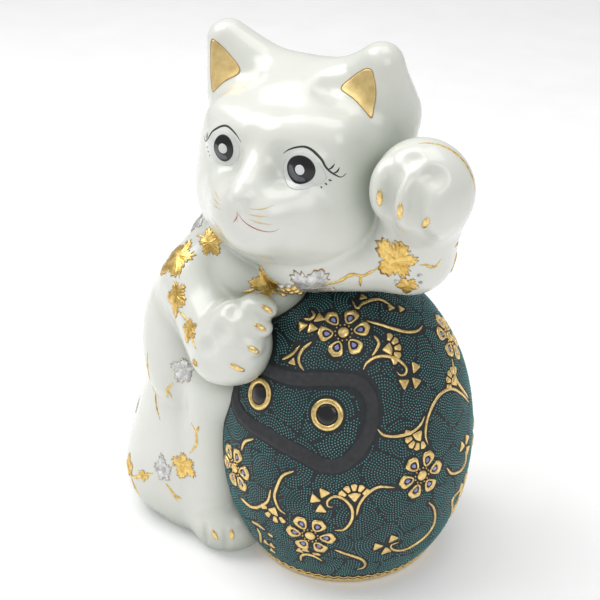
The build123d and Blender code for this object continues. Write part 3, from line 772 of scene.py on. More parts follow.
def pillow(builder, place, outline, height, sink=0.35, edge=0.5, steps=(0.94, 0.8, 0.5), under=(0.98,)):
    """A low cushion over an outline drawn counter-clockwise, in loops at shares of its size."""
    outline = np.asarray(outline, float)
    centre = outline.mean(0)
    levels = [(share, -sink) for share in under] + [(1.0, height * edge * 0.6)]
    levels += [(share, height * (edge + (1 - edge) * math.sqrt(1 - share * share))) for share in steps]
    loops = [place(*(centre + (outline - centre) * share).T, rise) for share, rise in levels]
    dome(builder, loops, place(*centre, -sink)[0], place(*centre, height)[0])


def frame_band(builder, place, outer, inner, height, sink=0.35):
    """A raised band between two outlines with the same number of points."""
    outer, inner = np.asarray(outer, float), np.asarray(inner, float)
    rises = (-sink, height * 0.5, height, height, height * 0.5, -sink)
    shares = (0.0, 0.0, 0.25, 0.75, 1.0, 1.0)
    rows = [place(*(outer + (inner - outer) * share).T, rise) for share, rise in zip(shares, rises)]
    sweep(builder, np.stack(rows, 1), closed=True)


def circle(radius, count=24, stretch=1.0, centre=(0, 0)):
    """A round or oval outline."""
    a = np.arange(count) * 2 * math.pi / count
    return np.stack([radius * np.cos(a), radius * stretch * np.sin(a)], 1) + np.array(centre, float)


def rounded(points, count=40):
    """A smooth closed outline through the points."""
    return smooth_curve(points, count + 1, closed=True)[:-1]


def polygon(points, per_side=5, soften=0.16):
    """A straight-sided outline with slightly rounded corners."""
    points = np.asarray(points, float)
    out = []
    for before, here, after in zip(np.roll(points, 1, 0), points, np.roll(points, -1, 0)):
        a = here + (before - here) * soften
        b = here + (after - here) * soften
        for t in np.linspace(0, 1, 3):
            out.append((1 - t) ** 2 * a + 2 * t * (1 - t) * here + t * t * b)
        for t in np.linspace(0.25, 0.75, per_side - 2):
            out.append(b + (here + (after - here) * (1 - soften) - b) * t)
    return np.array(out)


# ---- gold work of the doll
# Places are degrees round from the front and mm of height: scrolls, fans (a hub and its wedges), groups of
# triangles, and single triangles.
STROKES = [
    [(44, 107.7), (55, 106.2), (64, 104.4), (73, 102.5), (82, 101.5), (89, 101.8)],
    [(47, 104), (49, 102), (46, 100.1), (43, 98.7)],
    [(37, 95), (39, 96.7), (44, 98.1), (50, 98.2), (57, 96.8), (61, 94.5), (62, 92.6), (60, 91.4),
     (57, 91.7), (56, 92.8)],
    [(4, 101.7), (0, 99.3), (-1, 96.5), (1, 94.6), (4, 93.3)],
    [(-11, 94.3), (-6, 96.9), (-3, 99.9)],
    [(-10, 106.5), (-4, 107), (-3, 108.1), (-8, 108.8)],
    [(33, 112.1), (38, 110.4), (44, 111.1), (58, 111.5), (70, 111.1), (75, 109.7), (76, 108.5)],
    [(42, 75.6), (45, 73.2), (51, 72), (58, 72.1), (63, 73.7), (66, 76.1)],
    [(66, 65.4), (65, 69.3), (67, 74.4), (72, 78.6), (79, 80.7), (88, 79.5), (96, 74.3), (104, 67.1)],
    [(99, 87.1), (95, 82.7), (96, 78.1), (104, 69.1)],
    [(33, 41.6), (34, 46.4), (37, 50.9), (42, 53.5), (49, 52.2)],
    [(24, 34.2), (28, 34.9), (31, 39.4), (31, 44.8), (28, 48.8), (24, 50.1), (21, 48.1), (21, 45.3),
     (23, 45.4)],
    [(6, 57.9), (1, 54.8), (-2, 48.4), (-3, 43.8), (-1, 39.2), (2, 37.7)],
    [(-19, 32.7), (-13, 35.3), (-7, 40.6), (-5, 46.7)],
    [(67, 40), (71, 35.3), (74, 26.3), (71, 21.5), (65, 19), (58, 18.3), (52, 20.4), (50, 23.7),
     (54, 24.2)],
    [(77, 51.6), (81, 47.3), (90, 44.5), (95, 46.2), (94, 51)],
    [(99, 15), (86, 31.6), (93, 32.8), (99, 28.8)],
    [(23.9, 23.5), (27.9, 21.9), (33, 19.8), (36.8, 17.5), (38.8, 14.4), (38.1, 11.7), (35.1, 10.8)],
    [(6.1, 12.8), (6.9, 16), (9.5, 18.2), (12.8, 18.4), (15.4, 17.3), (17.6, 15.7)],
    [(13.2, 19.9), (15.3, 19.8), (17.1, 19.4)],
    [(-20.9, 23.9), (-15.9, 24.6), (-11.8, 23.9)],
    [(-17.8, 21.8), (-17, 18.5), (-20.5, 11.7)],
    [(-10.1, 23), (-8.8, 22.5), (-7.5, 21.8)],
    [(-23, 56.7), (-21, 61.1), (-16, 64.2)],
    [(-26, 33.2), (-19, 32.8), (-13, 34.4)],
]
FANS = [
    ((54, 99.8), [(55, 102.1), (60, 100.7), (64, 98.5), (63, 96.6)]),
    ((92, 80.9), [(86, 83.2), (87, 85.4), (91, 85.4), (96, 84.7)]),
    ((61, 70.1), [(53, 69.1), (56, 68.4), (59, 66.7), (62, 66.1)]),
    ((32, 50.2), [(27, 52.9), (30, 54.3), (33, 54.6), (37, 54.2)]),
    ((-4, 37.1), [(-10, 31.8), (-6, 32.3), (-2, 32.9)]),
]
DIAMONDS = [
    [(67, 92.1), (65, 88.4), (59, 89)],
    [(16, 47.9), (19, 50.6), (18, 44.4)],
    [(50, 27), (44, 24.5), (48, 21.5)],
    [(95, 55.3), (90, 55.1), (96, 50.9)],
    [(106, 29.9), (95, 33.9), (101, 34.5)],
    [(2, 107.4), (-7, 105), (0, 105.3)],
]
SINGLES = [(-4, 94.9), (49, 112.3), (82, 107.9), (73, 109.1), (6.7, 20.0), (9.9, 21.3), (-14.4, 15.8),
           (-10.2, 16.0), (-11.9, 12.0)]
REPEAT = 150.0


def clear_of_cat(points, gap):
    """Which points lie more than a gap outside the cat."""
    return cat_field(np.asarray(points, np.float32)) > gap


def visible_copies(places):
    """The drawing, less what the cat hides, and its copy round the back where that is clear of the cat."""
    kept = []
    for turn, gap, least in ((0.0, 0.3, 0.6), (REPEAT, 2.5, 1.0)):
        moved = [(a + turn, z) for a, z in places]
        free = clear_of_cat([doll_place(a, run_at(z)) for a, z in moved], gap)
        if free.all() or free.mean() > least:
            kept.append([m for m, f in zip(moved, free) if f])
    return kept


stems, leaves, flowers, jewels = Builder(), Builder(), Builder(), Builder()
LEAF_RISE = 0.5
gold_samples = []


def note_gold(azimuth, run, radius):
    """Remembers where gold lies, so that no dot is set there."""
    gold_samples.append((*doll_place(azimuth, run), radius))


def scroll(places, count=30):
    """A curling stem with tapering ends."""
    path = smooth_curve([(math.radians(a) * radius_at(run_at(z)), run_at(z), a, z) for a, z in places], count)
    azimuth, run = path[:, 2], run_at(path[:, 3])
    points = doll_place(azimuth, run)
    normals = doll_place(azimuth, run, 1.0) - points
    ribbon(stems, points, normals, taper(count, 0.52, 0.64, 0.46), LEAF_RISE)
    for place in zip(azimuth, run):
        note_gold(*place, 0.7)


def flat_offset(origin, point):
    """From one place on the doll to another, in flat mm."""
    run = run_at(origin[1])
    return np.array([math.radians(point[0] - origin[0]) * radius_at(run), run_at(point[1]) - run])


def unit(v):
    """A vector of length one."""
    return v / max(np.linalg.norm(v), TINY)


def drawn_along(ahead, points, origin=0.0):
    """Points given as (forward, leftward) from an origin, in flat mm."""
    left = np.array([-ahead[1], ahead[0]])
    return [origin + ahead * forward + left * leftward for forward, leftward in points]


def fan(centre, wedges):
    """A kite-shaped hub under a spread of wedge leaves."""
    place, run = on_doll(*centre), run_at(centre[1])
    ahead = unit(np.array([flat_offset(centre, wedge) for wedge in wedges]).mean(0))
    hub = [(1.0, 2.5), (1.7, 0), (1.0, -2.5), (-2.6, 0)]
    pillow(leaves, place, polygon(drawn_along(ahead, hub)), LEAF_RISE)
    note_gold(centre[0], run, 2.3)
    for turn in np.linspace(-58, 58, len(wedges) + 1):
        leaf = np.array(turned(*ahead, turn))[:, 0]
        wedge = [(3.6, -0.62), (6.1, -1.25), (6.6, 0), (6.1, 1.25), (3.6, 0.62)]
        pillow(leaves, place, polygon(drawn_along(leaf, wedge, -ahead * 1.2), 3), LEAF_RISE)
        across, up = leaf * 5 - ahead * 1.2
        note_gold(centre[0] + math.degrees(across / radius_at(run)), run + up, 1.5)


def diamond(places):
    """Triangles pointing at their common middle."""
    middle = tuple(np.mean(places, axis=0))
    for triangle in places:
        offset = flat_offset(middle, triangle)
        shape = drawn_along(unit(offset), [(-2.1, 0), (1.9, -2.3), (1.9, 2.3)], offset)
        pillow(leaves, on_doll(*middle), polygon(shape, 3), LEAF_RISE)
        note_gold(triangle[0], run_at(triangle[1]), 2.1)


for stroke in STROKES:
    for copy in visible_copies(stroke):
        if len(copy) > 2:
            scroll(copy)
for hub, wedges in FANS:
    for copy in visible_copies([hub] + wedges):
        if len(copy) > 2:
            fan(copy[0], copy[1:])
for group in DIAMONDS:
    for copy in visible_copies(group):
        diamond(copy)
for single in SINGLES:
    for ((azimuth, height),) in visible_copies([single]):
        pillow(leaves, on_doll(azimuth, height), polygon([(0, 1.6), (-1.7, -1.1), (1.7, -1.1)], 3), LEAF_RISE)
        note_gold(azimuth, run_at(height), 1.6)

# Half outlines of a petal's gold rim, the hole in it and its drop: distance from the middle, half width.
PETAL = [(3.6, 0.35), (4.3, 1.3), (5.5, 2.05), (6.9, 2.7), (8.0, 2.75), (8.8, 2.0), (9.3, 0.9), (9.75, 0.0)]
DROP = [(4.2, 0.1), (4.6, 0.55), (5.3, 1.05), (6.2, 1.35), (6.9, 1.3), (7.3, 0.9), (7.55, 0.45), (7.65, 0.0)]
BEAD = [(4.9, 0.1), (5.2, 0.35), (5.7, 0.68), (6.2, 0.85), (6.6, 0.75), (6.9, 0.4), (7.0, 0.0)]


def almond(profile, count=30):
    """A pointed oval from the half outline of a petal."""
    right = [(-w, r) for r, w in profile]
    left = [(w, r) for r, w in profile[:-1]][::-1]
    return rounded((right + left)[::-1], count)


def blossom(azimuth, height, spin):
    """Six rimmed petals with enamel drops round a beaded middle."""
    run = run_at(height)
    for petal in range(6):
        place = on_doll(azimuth, height, spin + petal * 60 + 30)
        if clear_of_cat(place(0, 6.5, 0), -0.5)[0]:
            frame_band(flowers, place, almond(PETAL), almond(DROP), 0.6)
            pillow(jewels, place, almond(BEAD, 18), 0.45, 0.3, 0.4)
    centre = on_doll(azimuth, height, spin)
    pillow(flowers, centre, circle(2.0), 0.9, 0.35, 0.35)
    for bead in range(12):
        a = math.radians(bead * 30 + 15)
        spot = (3.05 * math.cos(a), 3.05 * math.sin(a))
        pillow(flowers, centre, circle(0.36, 8, centre=spot), 0.5, 0.3, 0.4, (0.6,))
    note_gold(azimuth, run, 4.0)
    for petal in range(6):
        a = math.radians(spin + petal * 60 + 120)
        for reach, spread in ((4.6, 1.4), (6.6, 2.4), (8.1, 2.2)):
            up = run + reach * math.sin(a)
            note_gold(azimuth + math.degrees(reach * math.cos(a) / radius_at(up)), up, spread)


BLOSSOMS = [(25, 105.1, 10), (62, 54.1, 5), (13, 29.9, 0), (-28, 46.5, 12)]
BACK_BLOSSOMS = [(110, 92, 20), (106, 24, 15), (150, 75, 0), (175, 105.1, 10), (212, 54.1, 5), (163, 29.9, 0),
                 (122, 46.5, 12)]
for azimuth, height, spin in BLOSSOMS + BACK_BLOSSOMS:
    if azimuth <= 90 or clear_of_cat([doll_place(azimuth, run_at(height))], 1.0)[0]:
        blossom(azimuth, height, spin)

EYES = ((-19.0, 80.5), (19.0, 80.5))
rings, pupils = Builder(), Builder()
for azimuth, height in EYES:
    place = on_doll(azimuth, height)
    frame_band(rings, place, circle(6.0, 48), circle(3.9, 48), 0.75, 0.5)
    pillow(pupils, place, circle(3.95, 40), 0.9, 0.5, 0.3, (0.85, 0.6, 0.3))
    note_gold(azimuth, run_at(height), 6.4)


def zigzag_foot():
    """Two gold bands round the foot: a low one with a toothed upper edge, and a zigzag line over it."""
    teeth = 64
    around = np.arange(teeth * 10) / 10
    azimuths = around * 360 / teeth
    tooth = 1 - np.abs(2 * (around % 1) - 1)
    low, high = run_at(0.3), run_at(1.7) + 1.3 * tooth
    peak = run_at(3.2) + 1.5 * tooth
    for rows in (
        ((high, -0.35), (high, 0.3), ((low + high) / 2, 0.36), (low, 0.3), (low, -0.35)),
        ((peak + 0.34, -0.3), (peak + 0.3, 0.26), (peak, 0.34), (peak - 0.3, 0.26), (peak - 0.34, -0.3)),
    ):
        sweep(foot, np.stack([doll_place(azimuths, run, lift) for run, lift in rows], 1)[::-1], closed=True)


foot = Builder()
zigzag_foot()

stems.make("doll_scrolls", GOLD, ("scroll_stems",), "gold")
leaves.make("doll_fans", GOLD, ("fan_leaves",), "gold")
flowers.make("doll_blossoms", GOLD, ("blossoms",), "gold")
jewels.make("blossom_drops", VIOLET, ("blossom_jewels",), "violet_enamel")
rings.make("doll_eye_gold", GOLD, ("doll_eye_rings",), "gold")
pupils.make("doll_eye_black", BLACK, ("doll_pupils",), "black_gloss")
foot.make("foot_zigzag", GOLD, ("base_gold_band",), "gold")


def window_band():
    """A flat charcoal band just inside the window's edge."""
    outline = smooth_curve(WINDOW[::-4], 220, closed=True)[:-1]
    run = run_at(outline[:, 1])
    radius = radius_at(run)
    flat = np.stack([np.radians(outline[:, 0]) * radius, run], 1)
    along = np.roll(flat, -1, 0) - np.roll(flat, 1, 0)
    along /= np.linalg.norm(along, axis=1)[:, None]
    inward = np.stack([-along[:, 1], along[:, 0]], 1)
    rows = []
    for offset, lift in ((0.0, -0.25), (0.0, 0.14), (1.2, 0.16), (2.5, 0.16), (3.8, 0.16), (BAND_WIDTH, 0.14),
                         (BAND_WIDTH, -0.25)):
        moved = flat + inward * offset
        rows.append(doll_place(np.degrees(moved[:, 0] / radius), moved[:, 1], lift))
    sweep(band, np.stack(rows, 1), closed=True)


band = Builder()
window_band()
band.make("window_band", BAND, ("face_window_band",), "dark_enamel")


# ---- rings of dots
def scatter_seeds(count=130, gap=12.0):
    """Centres of the dot rings, spread over the doll: azimuth and run, and the places in space."""
    draw = np.random.default_rng(11)
    seeds = [(azimuth, run_at(height)) for azimuth, height in EYES]
    places = [doll_place(*seed) for seed in seeds]
    for _ in range(6000):
        azimuth, height = draw.uniform(0, 360), draw.uniform(4, 114)
        if draw.uniform() > radius_at(run_at(height)) / 50:
            continue
        point = doll_place(azimuth, run_at(height))
        if min(np.linalg.norm(point - other) for other in places) > gap:
            seeds.append((azimuth, run_at(height)))
            places.append(point)
        if len(seeds) >= count:
            break
    return seeds, np.array(places)


PITCH = 1.06
LOWEST_DOT = 5.6
DOT_RADIUS, DOT_HEIGHT, DOT_SIDES = 0.32, 0.24, 6


def dots_round(number, seeds, seed_places):
    """The rings of dots round one seed, out to halfway to the seeds beside it."""
    azimuth, run = seeds[number]
    flat = [(0.0, 0.0)]
    for ring in range(1, 17):
        around = int(round(2 * math.pi * ring))
        a = (np.arange(around) + 0.5 * (ring % 2)) * 2 * math.pi / around
        flat.extend(zip(ring * PITCH * np.cos(a), ring * PITCH * np.sin(a)))
    flat = np.array(flat)
    runs = run + flat[:, 1]
    keep = (runs > run_at(LOWEST_DOT)) & (runs < OUT_RUN[-1] - 1.5)
    flat, runs = flat[keep], runs[keep]
    azimuths = azimuth + np.degrees(flat[:, 0] / np.maximum(radius_at(runs), 4))
    distance = np.linalg.norm(doll_place(azimuths, runs)[:, None] - seed_places[None], axis=2)
    nearest = np.sort(distance, axis=1)
    keep = (distance[:, number] <= nearest[:, 0] + 1e-6) & (nearest[:, 1] - nearest[:, 0] > 0.6)
    return np.stack([azimuths[keep], runs[keep]], 1)


def dot_places():
    """Azimuth and run of every dot, clear of the window band, the cat and the gold."""
    seeds, seed_places = scatter_seeds()
    at = np.vstack([dots_round(number, seeds, seed_places) for number in range(len(seeds))])
    at[:, 0] = (at[:, 0] + 180) % 360 - 180
    edge_gap = window_distance(at[:, 0], at[:, 1])
    off_band = (edge_gap > 0.9) | (edge_gap < -BAND_WIDTH - 0.3)
    at = at[off_band & clear_of_cat(doll_place(at[:, 0], at[:, 1]), 1.7)]
    gold = np.array(gold_samples)
    kept = []
    for part in np.array_split(at, 60):
        points = doll_place(part[:, 0], part[:, 1])
        gap = np.linalg.norm(points[:, None] - gold[None, :, :3], axis=2) - gold[None, :, 3]
        kept.append(part[gap.min(1) > 0.8])
    return np.vstack(kept)


def add_dots(name, at, cad_nodes):
    """Small six-sided domes standing on the doll."""
    base = doll_place(at[:, 0], at[:, 1])
    normals = doll_place(at[:, 0], at[:, 1], 1.0) - base
    normals /= np.linalg.norm(normals, axis=1)[:, None]
    right = np.stack([-normals[:, 1], normals[:, 0], np.zeros(len(normals))], 1)
    right /= np.maximum(np.linalg.norm(right, axis=1), TINY)[:, None]
    up = np.cross(normals, right)
    a = np.arange(DOT_SIDES)[None, :, None] * 2 * math.pi / DOT_SIDES
    rim = (right[:, None] * np.cos(a) + up[:, None] * np.sin(a)) * DOT_RADIUS
    base, normals = base[:, None], normals[:, None]
    lower, upper = base + rim - normals * 0.12, base + rim * 0.62 + normals * DOT_HEIGHT * 0.8
    verts = np.concatenate([lower, upper, base + normals * DOT_HEIGHT], 1)
    shape = [tuple(range(DOT_SIDES))[::-1]]
    for i in range(DOT_SIDES):
        j = (i + 1) % DOT_SIDES
        shape.append((i, j, DOT_SIDES + j, DOT_SIDES + i))
        shape.append((DOT_SIDES + i, DOT_SIDES + j, 2 * DOT_SIDES))
    faces = [[i + verts.shape[1] * dot for i in face] for dot in range(len(verts)) for face in shape]
    add_object(name, verts.reshape(-1, 3), faces, DOTS, cad_nodes, "dot_enamel")


dots = dot_places()
quarter = np.digitize(dots[:, 0], [-40, 20, 80])
for number in range(4):
    add_dots(f"teal_dots_{number + 1}", dots[quarter == number], () if number else ("dot_enamel_coat",))


# ---- face of the cat
lids, lashes, irises, shades, lights, whites = (Builder() for _ in range(6))
# Loops over and under a thin pillow, close enough together to follow the curved face.
FINE = tuple(np.linspace(0.96, 0.04, 24))
SUNKEN = tuple(np.linspace(0.06, 0.98, 24))
# The left eye, in mm from its middle. The right one is its mirror image, but for the crescent.
LID = [(-7.1, 3.9), (-5.5, 5.4), (-3.1, 6.7), (-0.4, 7.4), (1.9, 7.0), (4.3, 5.6), (6.3, 3.8), (7.7, 1.5),
       (9.3, -0.5), (11, -1.7), (12.2, -2.0), (13.1, -0.9)]
LASHES = [[(8.0, 0.7), (9.0, 1.1), (9.7, 2.5)], [(9.6, -0.8), (10.6, -0.2), (11.1, 1.2)]]
LOWER = [[(7.0, -4.9), (7.5, -5.6)], [(7.9, -3.9), (8.7, -4.5)], [(8.7, -2.8), (9.7, -3.2)]]
WHITE = [(8.2, -2.2), (5.5, 3.2), (0.5, 6.0), (-4.5, 4.2), (-6.6, 0), (-4.8, -4.4), (0, -6.1), (5, -5.0)]
CRESCENT = [(-3.9, -1.6), (-2.9, -3.0), (-1.2, -3.95), (0.8, -4.0), (2.2, -3.5), (1.6, -2.5), (0, -2.2),
            (-1.6, -1.4), (-2.3, -0.1), (-2.9, 0.8), (-4.0, 0.6)]


def face_line(builder, points, width, height, place, count=26, ends=0.5):
    """A painted line on the face."""
    path = smooth_curve(points, count)
    p = place(path[:, 0], path[:, 1], 0.0)
    n = place(path[:, 0], path[:, 1], 1.0) - p
    ribbon(builder, p, n, taper(count, width * ends, width, width * ends), height, 0.15)


for side, across, up, girth in ((1, 17.7, 166.8, 1.08), (-1, -12.9, 168.7, 0.84)):
    place = on_face(across, up, -3.0)
    mirror = np.array([side, 1.0])
    face_line(lids, np.array(LID) * mirror, 0.46, 0.18, place, 40, 0.6)
    for stroke in LASHES:
        face_line(lids, np.array(stroke) * mirror, 0.34, 0.16, place, 10)
    for stroke in LOWER:
        face_line(lashes, np.array(stroke) * mirror, 0.3, 0.14, place, 6)
    white, crescent = np.array(WHITE) * mirror, np.array(CRESCENT) * (girth, 1)
    pillow(whites, place, rounded(white[::side], 44), 0.05, 0.1, 0.5, FINE, SUNKEN)
    pillow(irises, place, circle(4.75, 40) * (girth, 1), 0.2, 0.1, 0.85, FINE, SUNKEN)
    pillow(shades, place, rounded(crescent, 36), 0.27, -0.05, 0.97, FINE[1::2], SUNKEN[::2])
    pillow(lights, place, circle(1.75, 24), 0.36, -0.1, 0.95, FINE[1::2], SUNKEN[::2])

MOUTH = [(2.0, 154.0), (3.6, 152.2), (6.6, 150.6), (9.6, 149.5), (12.2, 148.8), (14.4, 148.6), (15.9, 149.1),
         (16.6, 149.8)]
PHILTRUM = [(2.1, 153.8), (2.1, 152.3), (1.4, 150.7), (0.6, 149.7)]
WHISKERS = [
    [(7.0, 156.1), (9.7, 156.2), (12.0, 156.6), (14.2, 157.5)], [(6.9, 154.2), (10.2, 154.2), (13.6, 154.2)],
    [(7.2, 152.6), (10.5, 152.0), (15.0, 151.5)], [(-9.9, 157.6), (-7.3, 156.9), (-4.6, 156.2)],
    [(-9.6, 155.9), (-7.0, 155.5), (-4.4, 155.0)], [(-8.8, 154.0), (-6.4, 153.9), (-4.2, 153.6)],
]
mouth, whiskers = Builder(), Builder()
front = on_face(0, 0)
face_line(mouth, MOUTH, 0.24, 0.12, front)
face_line(mouth, PHILTRUM, 0.2, 0.12, front, 10)
for stroke in WHISKERS:
    face_line(whiskers, stroke, 0.22, 0.12, front, 12, 0.4)

lids.make("cat_lid_lines", INK, ("eyelid_lines",), "dark_enamel")
lashes.make("cat_lower_lashes", INK, ("lower_lashes",), "dark_enamel")
whites.make("cat_eye_glaze", EYE_WHITE, ("cat_eye_whites",), "eye_white")
irises.make("cat_iris_black", BLACK, ("cat_irises",), "black_gloss")
shades.make("cat_iris_shade", IRIS_GREY, (), "black_gloss")
lights.make("cat_eye_lights", EYE_LIGHT, ("pupil_lights",), "eye_light")
mouth.make("cat_mouth", RED, ("mouth_line",), "red_enamel")
whiskers.make("cat_whiskers", TAN, ("whiskers",), "gold")


# ---- gold in the ears and on the claws
def local_outline(points, field=cat_field):
    """A drawing map at the middle of some surface points, and those points in its flat coordinates."""
    points = settle(field, np.array(points, float), 3)
    centre = points.mean(0)
    place = on_cat(centre, 0, field)
    origin = place(0, 0, 0)[0]
    right = place(0.5, 0, 0)[0] - origin
    up = place(0, 0.5, 0)[0] - origin
    right /= np.linalg.norm(right)
    up /= np.linalg.norm(up)
    offset = points - origin
    return place, np.stack([offset @ right, offset @ up], 1)


EARS = {
    "right": [(-35.2, -2.5, 196.7), (-33.7, -2.7, 197.0), (-27.6, -2.7, 193.0), (-21.8, -4.0, 187.5),
              (-26.8, -5.3, 183.3), (-32.8, -5.1, 178.8), (-35.0, -3.3, 182.8), (-35.7, -2.5, 190.2)],
    "left": [(29.2, -2.9, 195.8), (25.9, -2.5, 195.0), (21.6, -2.6, 191.3), (19.0, -4.9, 187.3),
             (24.6, -5.8, 183.3), (31.3, -6.7, 179.8), (32.2, -4.7, 183.2), (32.0, -3.6, 188.0),
             (30.7, -2.9, 192.8)],
}
ear_lines = Builder()


def ear_gold(side, points):
    """The gilded inside of one ear, with a dark line round it."""
    place, flat = local_outline(points, head_field)
    twice_area = np.sum(flat[:, 0] * np.roll(flat[:, 1], -1) - flat[:, 1] * np.roll(flat[:, 0], -1))
    outline = smooth_curve(flat if twice_area > 0 else flat[::-1], 61, closed=True)
    gold = Builder()
    pillow(gold, place, outline[:-1], 0.16, 0.2, 0.8, FINE[1::2], SUNKEN[::2])
    gold.make(f"ear_gold_{side}", PALE_GOLD, (f"ear_lining_{side}",), "gold")
    points = place(*outline.T, 0.0)
    normals = place(*outline.T, 1.0) - points
    ribbon(ear_lines, points, normals, np.full(len(outline), 0.16), 0.18, 0.1)


for side, points in EARS.items():
    ear_gold(side, points)
ear_lines.make("ear_gold_edges", RUST, (), "gold")

# Piece, CAD node, half width, and the two ends of each claw.
CLAWS = [
    ("resting_claw_gold", "resting_paw_claws", 0.95, [
        ((4.6, -36, 115.0), (8.7, -34.3, 111.9)), ((4.6, -40.7, 109.6), (8.8, -39.2, 107.3)),
        ((4.5, -45.0, 102.9), (7.7, -42.3, 99.4)), ((-1.1, -48.2, 95.7), (3.3, -44.8, 92.1))]),
    ("raised_claw_gold", "raised_paw_claws", 1.0, [
        ((47.0, -29.9, 165.5), (47.0, -29.5, 159.1)), ((55.8, -31.9, 163.5), (55.4, -31.2, 157.4)),
        ((64.6, -29.0, 158.9), (61.9, -27.4, 154.2))]),
    ("hind_claw_gold", "hind_foot_claws", 0.95, [
        ((-15.3, -42.1, 13.3), (-12.9, -42.8, 9.1)), ((-8.3, -39.6, 14.6), (-7.2, -40.7, 9.8))]),
]


def claw(builder, ends, half_width):
    """A gilded claw: a long rounded cushion between two points of a paw."""
    place, flat = local_outline(ends)
    along = unit(flat[1] - flat[0])
    across = np.array([-along[1], along[0]])
    a = np.radians(np.arange(28) * 360 / 28)[:, None]
    blunt = np.sin(a) * np.abs(np.sin(a)) ** 0.25
    half_length = np.linalg.norm(flat[1] - flat[0]) / 2
    outline = flat.mean(0) + np.cos(a) * along * half_length + blunt * across * half_width
    pillow(builder, place, outline, 0.5, 0.35, 0.35)


for name, cad_node, half_width, pairs in CLAWS:
    claws = Builder()
    for ends in pairs:
        claw(claws, ends, half_width)
    claws.make(name, GOLD, (cad_node,), "gold")


# ---- vines over the cat
gold_leaf, silver_leaf, leaf_edges, vine, berry_gold, berry_silver = (Builder() for _ in range(6))
# Turn from the leaf's tip and length of each lobe.
LOBES = np.array([(-138, 0.66), (-72, 0.86), (0, 1.0), (72, 0.86), (138, 0.66)])


def vine_leaf(builder, centre, size, spin, stretch, seed, height=0.55):
    """A five-lobed leaf with a toothed edge, a raised vein down each lobe and furrows beside it."""
    draw = np.random.default_rng(seed)
    place = on_cat(centre, spin)
    count = 120
    a = np.arange(count) * 360.0 / count
    gap = np.abs((a[:, None] - LOBES[None, :, 0] + 90) % 360 - 180)
    lobe = (LOBES[None, :, 1] * (0.50 + 0.50 * np.clip(1 - (gap / 40) ** 1.5, 0, 1))).max(1)
    saw = np.abs((np.arange(count) * 0.2 + draw.uniform()) % 1 * 2 - 1)
    teeth = 0.17 * (saw - 0.5) * draw.uniform(0.5, 1.3, 24).repeat(5) + 0.03 * draw.uniform(-1, 1, count)
    reach = size * np.clip(lobe + teeth, 0.34, 1.14)
    by_stalk = np.abs(a - 270) < 12
    reach *= np.where(by_stalk, 0.75, 1)
    rad = np.radians(a)
    vein = np.clip(1 - gap.min(1) / 7.0, 0, 1)
    fine = 0.5 + 0.5 * np.cos(np.radians(gap.min(1) * 14))
    flat = np.stack([np.cos(rad) * reach * stretch, np.sin(rad) * reach], 1)
    loops = [place(*(flat * share).T, -0.3) for share in (0.12, 0.3, 0.48, 0.66, 0.84, 0.98)]
    loops.append(place(*flat.T, height * 0.35))
    for share in (0.93, 0.8, 0.62, 0.44, 0.26, 0.12):
        rise = height * (0.62 + 0.3 * vein - 0.22 * fine * share + 0.12 * (1 - share))
        p = place(*(flat * share).T, 0.0)
        n = place(*(flat * share).T, 1.0) - p
        loops.append(p + n * rise[:, None])
    bottom, top = place(0, 0, -0.3)[0], place(0, 0, height * 0.8)[0]
    dome(builder, loops, bottom, top)


def leaf_pair(builder, number, centre, size, spin, stretch):
    """A leaf over its thin dark outline."""
    vine_leaf(leaf_edges, centre, size * 1.06, spin, stretch, number, 0.16)
    vine_leaf(builder, centre, size, spin, stretch, number)


def cat_stroke(builder, points, width, height=0.4, ends=0.6, count=22):
    """A knotty raised branch over the cat."""
    path = settle(cat_field, smooth_curve(points, count), 3)
    normals = gradient(cat_field, path.astype(np.float32))
    wobble = 1 + 0.18 * np.sin(np.arange(count) * 1.9)
    ribbon(builder, path, normals, taper(count, width * ends, width, width * ends) * wobble, height, 0.3)


GOLD_LEAVES = [
    ((-26.5, -20.8, 126), 6.6, -52, 1), ((-37.4, -25.6, 120), 11.6, 150, 0.8),
    ((-32.4, -35.6, 109.4), 8.4, 185, 0.72), ((-21.5, -43.2, 101.9), 5.6, 175, 0.9),
    ((-30.6, -37.4, 36.2), 7.2, 160, 0.95), ((-61.2, -33.4, 21.6), 6.2, 20, 0.75),
    ((-51.8, -37.6, 23.8), 3.6, -80, 0.8), ((1.8, -25.1, 117.6), 8.6, 20, 1),
    ((50.4, -21, 136.8), 10.5, 60, 1), ((52.8, -17.6, 126.6), 6, 175, 0.8),
    ((-15.9, -48.3, 91.4), 1.9, 30, 1), ((64.5, 6, 128), 8, -20, 0.9), ((-50, 24, 86), 9, 160, 0.9),
    ((-34, 37, 64), 8.6, 30, 1), ((-8, 32, 125), 7.5, 200, 0.9), ((-17, 32, 97), 5.4, 120, 0.9),
    ((-41, 35, 104), 6, 230, 0.9),
]
SILVER_LEAVES = [
    ((-31.2, -33.2, 77.3), 6.8, 150, 0.95), ((-41, -38.3, 29.8), 7, 10, 0.7),
    ((18.6, -25, 120.6), 10.2, -30, 1), ((-37, -13, 130.8), 8.5, 60, 0.8), ((-68.5, -18, 41), 5, 20, 0.8),
    ((-56, 14, 104), 8, 60, 0.9), ((-60, 26, 52), 7, 200, 0.9), ((2, 30, 120), 6, 10, 0.9),
    ((-13, 36, 78), 7.4, 150, 0.9),
]
for number, (centre, size, spin, stretch) in enumerate(GOLD_LEAVES):
    leaf_pair(gold_leaf, number + 1, centre, size, spin, stretch)
for number, (centre, size, spin, stretch) in enumerate(SILVER_LEAVES):
    leaf_pair(silver_leaf, number + 41, centre, size, spin, stretch)

